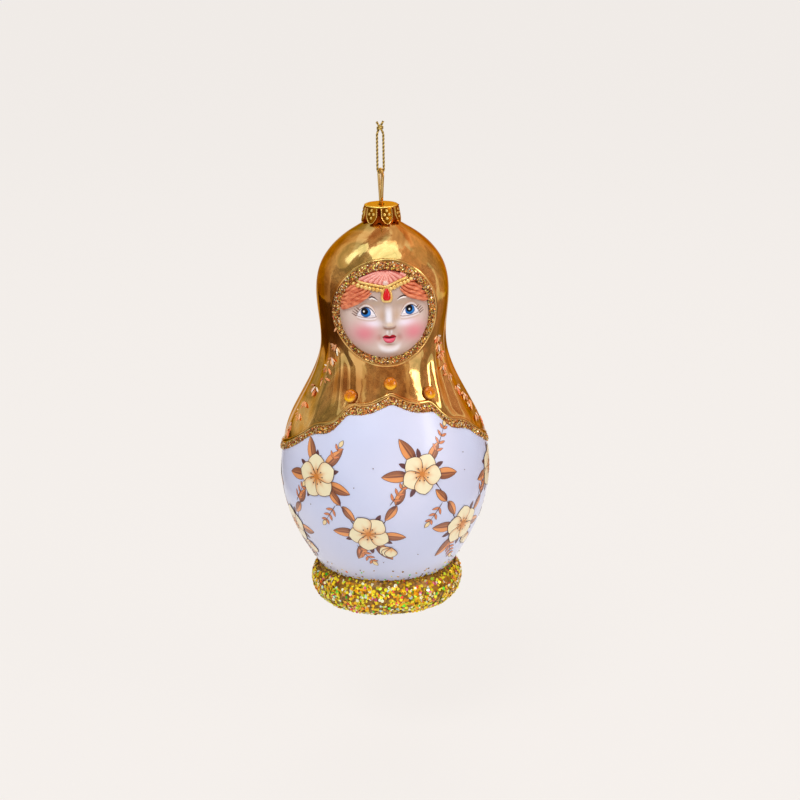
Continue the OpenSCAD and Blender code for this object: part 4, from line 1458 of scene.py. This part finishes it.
capSet = {"low": 121.2, "high": 126.5, "edge": 6.1, "top": 5.25, "panels": 7, "turn": 13,
          "columns": 420, "rows": 44, "rim": 0.35, "thick": 0.25, "widest": 5.55, "dot": 0.5, "dotRise": 0.3,
          "edgeRise": 0.2, "crestRise": 0.35, "foldDepth": 0.55, "sink": 0.05, "pleatCut": 0.5,
          "dots": [(0, 0.83), (-0.15, 0.6), (0.15, 0.6), (0, 0.37)],
          # over the top, down the hole and back
          "crown": [(5.12, 126.38), (4.85, 126.5), (4.3, 126.44), (3.2, 126.42), (2.1, 126.42), (1.1, 126.42),
                    (1.1, 126.15), (3, 126.15), (4.6, 126.1), (4.75, 125.4)]}
# cap colours, with painted light in them: the panels run from low to the painted highlight high on the raised
# dots, edges and crests; rim is a painted highlight on the crown's rim; inside is painted shade inside the cap;
# fold is painted shade in the pleats
capTones = {"low": (150, 92, 8), "high": (255, 226, 130), "rim": (255, 224, 120), "crown": (238, 184, 70),
            "inside": (120, 70, 10), "fold": (150, 52, 6)}


def capRelief(share, up):
    # share runs from -0.5 to 0.5 across one panel, up from 0 at the lower edge to 1 at the rim
    wide = math.tau * capSet["edge"] / capSet["panels"]
    tall = capSet["high"] - capSet["low"]
    half = 0.37 * np.sqrt(np.clip((up - 0.02) / 0.42, 0, 1))
    inside = half - np.abs(share)
    fold = ease(0.02, -0.1, inside)
    edge = np.exp(-((inside - 0.015) / 0.035) ** 2) * ease(1.0, 0.9, up)
    crest = np.exp(-((0.5 - np.abs(share)) / 0.03) ** 2) * ease(0.05, 0.2, up)
    rise = capSet["edgeRise"] * edge + capSet["crestRise"] * crest
    rise -= capSet["foldDepth"] * fold * ease(1.0, 0.86, up)
    spots = np.zeros_like(share)
    for across, level in capSet["dots"]:
        far = np.hypot((share - across) * wide, (up - level) * tall) / capSet["dot"]
        spots = np.maximum(spots, np.sqrt(np.clip(1 - far * far, 0, 1)))
    # the third value places the painted highlight: on the dots, the raised edges and the crests
    return rise + capSet["dotRise"] * spots, fold, np.maximum(spots, np.maximum(edge, crest * 0.6))


def makeCap():
    angles = np.linspace(0, 360, capSet["columns"], endpoint=False)
    share = ((angles - capSet["turn"]) * capSet["panels"] / 360 + 0.5) % 1 - 0.5
    up, share = np.meshgrid(np.linspace(0, 1, capSet["rows"]), share, indexing="ij")
    rise, fold, raisedHighlight = capRelief(share, up)
    reach = capSet["edge"] + (capSet["top"] - capSet["edge"]) * up + rise - capSet["sink"]
    # the pleats end higher than the panels
    low = capSet["low"] + capSet["pleatCut"] * ease(0.3, 0.45, np.abs(share))
    height = low + (capSet["high"] - capSet["rim"] - low) * up
    # painted highlight on the raised relief
    rings = [(reach, height, blend(capTones["low"], capTones["high"], raisedHighlight[..., None]), fold)]
    for radius, level in capSet["crown"]:
        # painted highlight on the crown's outer rim
        shine = np.array(tone(*capTones["rim" if radius > 4.5 and level > 126.2 else "crown"]))
        flat = np.full((1, len(angles)), float(radius))
        rings.append((flat, np.full_like(flat, level), flat[..., None] * 0 + shine, flat * 0))
    under = np.minimum(reach[::-1] - capSet["thick"], capSet["widest"])
    # painted shade inside the cap
    inside = np.zeros((*under.shape, 3)) + np.array(tone(*capTones["inside"]))
    rings.append((under, height[::-1], inside, under * 0))
    reach, height, colours, fold = (np.concatenate([ring[i] for ring in rings]) for i in range(4))
    # painted shade in the pleats
    colours = tint(colours, capTones["fold"], 0.8 * fold[..., None])
    turn = np.radians(angles)[None, :]
    points = np.stack([reach * np.sin(turn), -reach * np.cos(turn), height], axis=-1).reshape(-1, 3)
    piece = meshPiece("stampedCap", points, ringFaces(*reach.shape), colours.reshape(-1, 3))
    tidyNormals(piece)
    smoothBelow(piece, 50)
    dress(piece, "cap", "cap_metal", capMetal)
    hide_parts("neck_cap")


makeCap()
print("cap made")


# domed stones

# stone colours: dark and light are painted shade and light on the facets, glow a painted bright crescent, rim a
# painted dark rim
stoneSet = {"rows": 16, "columns": 56, "glue": 0.05, "girdle": 0.25, "dark": (168, 76, 0),
            "light": (244, 144, 0), "glow": (255, 190, 14), "rim": (120, 58, 6)}


def acrossOnly(points, foot, out):
    # the ways from the foot to the points, without their share outwards
    away = points - foot
    return away - np.outer(away @ out, out)


def stoneLightAndShade(points, foot, out, wide):
    # painted light and shade, as if lit through from above: dark amber on the upper side, a painted bright
    # crescent low down, a painted dark rim, and facets painted lighter and darker in turn
    flat = acrossOnly(points, foot, out)
    up = Vector((0, 0, 1)) - Vector(out) * out[2]
    up = np.array(up.normalized())
    share = np.linalg.norm(flat, axis=1) / wide
    glow = np.exp(-((share - 0.66) / 0.26) ** 2) * ease(-0.1, 0.75, -(flat @ up) / wide) * 1.2
    side = np.arctan2(flat @ np.cross(up, out), flat @ up)
    facet = (0.5 + 0.5 * np.cos(side * 8 + np.round(share * 3) * math.pi)) * ease(0.08, 0.2, share)
    colours = blend(stoneSet["dark"], stoneSet["light"], 0.2 + 0.5 * facet[:, None])
    colours = tint(colours, stoneSet["glow"], np.clip(glow, 0, 1)[:, None])
    return tint(colours, stoneSet["rim"], ease(0.76, 1.0, share)[:, None] * 0.85)


def makeStone(node):
    low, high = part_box(node)
    middle = (low + high) / 2 / mm
    angle, height = np.array(frontAngle(middle.x, middle.y)), np.array(middle.z - footZ)
    foot = onGlass(angle, height, stoneSet["glue"])
    out = outOfGlass(angle, height)
    spots = fromFrame([v.co for v in frame["nodes"][node].data.vertices])
    tall = ((spots - foot) @ out).max()
    wide = np.linalg.norm(acrossOnly(spots, foot, out), axis=1).max()
    girdle = stoneSet["girdle"]
    outline = [(0, 0), (wide * 0.94, 0), (wide, girdle)]
    for i in range(1, stoneSet["rows"] + 1):
        turn = math.pi / 2 * i / stoneSet["rows"]
        outline.append((wide * math.cos(turn), girdle + (tall - girdle) * math.sin(turn)))
    outline = [(radius, level - footZ) for radius, level in outline]
    piece = spinOutline(node.replace("stone_", "domedStone_"), outline, stoneSet["columns"])
    facing = Vector(out).to_track_quat("Z", "Y").to_matrix().to_4x4()
    piece.data.transform(Matrix.Translation((Vector(foot) + Vector((0, 0, footZ))) * mm) @ facing)
    paintPoints(piece, stoneLightAndShade(readPoints(piece), foot, out, wide))
    smoothBelow(piece, 40)
    dress(piece, "doll", "amber_stone", amberStone)
    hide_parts(node)


for node in ("stone_left", "stone_centre", "stone_right"):
    makeStone(node)
print("stones made")


# floor, light and world

stageSet = {"floorDrop": 45, "floorSize": 20.0, "pale": (*tone(242, 237, 233), 1), "glow": 1.03,
            "seenShare": 0.9, "soft": (1, 0.985, 0.97, 1), "softStrength": 0.55}


def emptyTree(owner):
    owner.use_nodes = True
    owner.node_tree.nodes.clear()
    return owner


def showToEye(owner, plain, seen, outKind, share):
    # the plain shader gives the light; the camera, a mirror and glass see the other one
    path = addNode(owner, "ShaderNodeLightPath")
    first = addNode(owner, "ShaderNodeMath", operation="MAXIMUM")
    second = addNode(owner, "ShaderNodeMath", operation="MAXIMUM")
    part = addNode(owner, "ShaderNodeMath", operation="MULTIPLY")
    part.inputs[1].default_value = share
    mix = addNode(owner, "ShaderNodeMixShader")
    out = addNode(owner, outKind)
    link(owner, path, "Is Camera Ray", first, 0)
    link(owner, path, "Is Glossy Ray", first, 1)
    link(owner, first, 0, second, 0)
    link(owner, path, "Is Transmission Ray", second, 1)
    link(owner, second, 0, part, 0)
    link(owner, part, 0, mix, "Fac")
    link(owner, plain, 0, mix, 1)
    link(owner, seen, 0, mix, 2)
    link(owner, mix, 0, out, "Surface")


def makeStage():
    clearSelection()
    place = (0, 0, (footZ - stageSet["floorDrop"]) * mm)
    bpy.ops.mesh.primitive_plane_add(size=stageSet["floorSize"], location=place)
    floor = nameNew("floor")
    paint = emptyTree(bpy.data.materials.new("paleFloor"))
    matt = addNode(paint, "ShaderNodeBsdfDiffuse", Color=stageSet["pale"])
    glow = addNode(paint, "ShaderNodeEmission", Color=stageSet["pale"], Strength=stageSet["glow"])
    showToEye(paint, matt, glow, "ShaderNodeOutputMaterial", stageSet["seenShare"])
    floor.data.materials.append(paint)
    scene.world = emptyTree(bpy.data.worlds.new("studio"))
    soft = addNode(scene.world, "ShaderNodeBackground", Color=stageSet["soft"],
                   Strength=stageSet["softStrength"])
    pale = addNode(scene.world, "ShaderNodeBackground", Color=stageSet["pale"])
    showToEye(scene.world, soft, pale, "ShaderNodeOutputWorld", 1)


lampSet = [{"name": "key", "turn": -30, "rise": 55, "size": 0.35, "power": 3.2, "colour": (1, 1, 1)},
           {"name": "fill", "turn": 50, "rise": 25, "size": 0.4, "power": 2.1, "colour": (1, 0.9, 0.84)},
           {"name": "rear", "turn": 170, "rise": 50, "size": 0.4, "power": 1.5, "colour": (1, 1, 1)}]
lampAway = 0.9  # metres
aimHeight = 65  # lamps and cards face this height of the doll
# cards that the gilding mirrors, like the walls and windows of a room; the camera doesn't see them
# (turn, rise, distance, width, height, bright panes, dark panes)
cardSet = [(-142, 12, 0.6, 0.75, 0.9, (232, 212, 186), (184, 168, 146)),
           (140, 12, 0.6, 0.75, 0.9, (244, 206, 182), (198, 158, 136)),
           (-88, 14, 0.5, 0.34, 0.7, (212, 194, 168), (136, 122, 106)),
           (84, 12, 0.5, 0.3, 0.7, (238, 198, 176), (162, 124, 104)),
           (-112, -24, 0.22, 0.4, 0.14, (140, 116, 98), (100, 84, 72)),
           (108, -24, 0.22, 0.4, 0.14, (204, 168, 150), (164, 132, 116)),
           (-62, -24, 0.24, 0.16, 0.12, (136, 120, 106), (112, 98, 86)),
           (58, -24, 0.24, 0.16, 0.12, (160, 134, 118), (130, 106, 92)),
           (0, 30, 0.52, 0.9, 0.5, (220, 188, 158), (140, 114, 98)),
           (-40, 28, 0.46, 0.05, 0.36, (240, 236, 226), (206, 196, 176)),
           (34, 28, 0.46, 0.05, 0.36, (240, 226, 206), (206, 186, 160)),
           (62, 52, 0.5, 0.4, 0.3, (255, 214, 188), (222, 168, 140)),
           (-64, 62, 0.5, 0.4, 0.26, (208, 188, 164), (152, 138, 118)),
           (30, 102, 0.5, 0.34, 0.14, (226, 186, 160), (166, 134, 112)),
           (116, 42, 0.5, 0.4, 0.2, (255, 224, 200), (236, 186, 158)),
           (-116, 42, 0.5, 0.4, 0.2, (240, 222, 196), (208, 190, 166))]
windowSet = [(14, 77, 0.42, 0.3, 0.19, (222, 238, 255), (196, 206, 206)),
             (-96, 58, 0.4, 0.08, 0.22, (222, 238, 255), (176, 186, 184))]
paneSet = {"scale": 12, "bars": 0.03, "cardGlow": 1, "windowGlow": 2.8}


def roundTheDoll(turn, rise, away):
    back = outward(turn, rise)
    return Vector((0, 0, (footZ + aimHeight) * mm)) + back * away, back


def hangCard(name, card, strength):
    turn, rise, away, wide, tall, glow, dark = card
    place, back = roundTheDoll(turn, rise, away)
    clearSelection()
    bpy.ops.mesh.primitive_plane_add(size=1, location=place, rotation=back.to_track_quat("Z", "Y").to_euler())
    sheet = nameNew("studioCard" + name)
    sheet.scale = (wide, tall, 1)
    sheet.visible_camera = False
    sheet.visible_diffuse = False
    sheet.visible_shadow = False
    glow, dark = (*tone(*glow), 1), (*tone(*dark), 1)
    paper = newMaterial("cardPaper" + name, Base_Color=(0, 0, 0), Specular_IOR_Level=0,
                        Emission_Strength=strength)
    coords = addNode(paper, "ShaderNodeTexCoord")
    panes = addNode(paper, "ShaderNodeTexBrick", Color1=glow, Color2=dark, Mortar=dark,
                    Scale=paneSet["scale"], Mortar_Size=paneSet["bars"])
    link(paper, coords, "Object", panes, "Vector")
    link(paper, panes, "Color", shaderOf(paper), "Emission Color")
    sheet.data.materials.append(paper)


def makeLight():
    for lamp in lampSet:
        place, back = roundTheDoll(lamp["turn"], lamp["rise"], lampAway)
        bpy.ops.object.light_add(type="AREA", location=place)
        light = bpy.context.object
        light.name = lamp["name"]
        light.rotation_euler = (-back).to_track_quat("-Z", "Y").to_euler()
        light.data.size = lamp["size"]
        light.data.energy = lamp["power"]
        light.data.color = lamp["colour"]
    for i, card in enumerate(cardSet + windowSet):
        hangCard(str(i), card, paneSet["windowGlow"] if card in windowSet else paneSet["cardGlow"])


makeStage()
makeLight()
print("stage and light made")
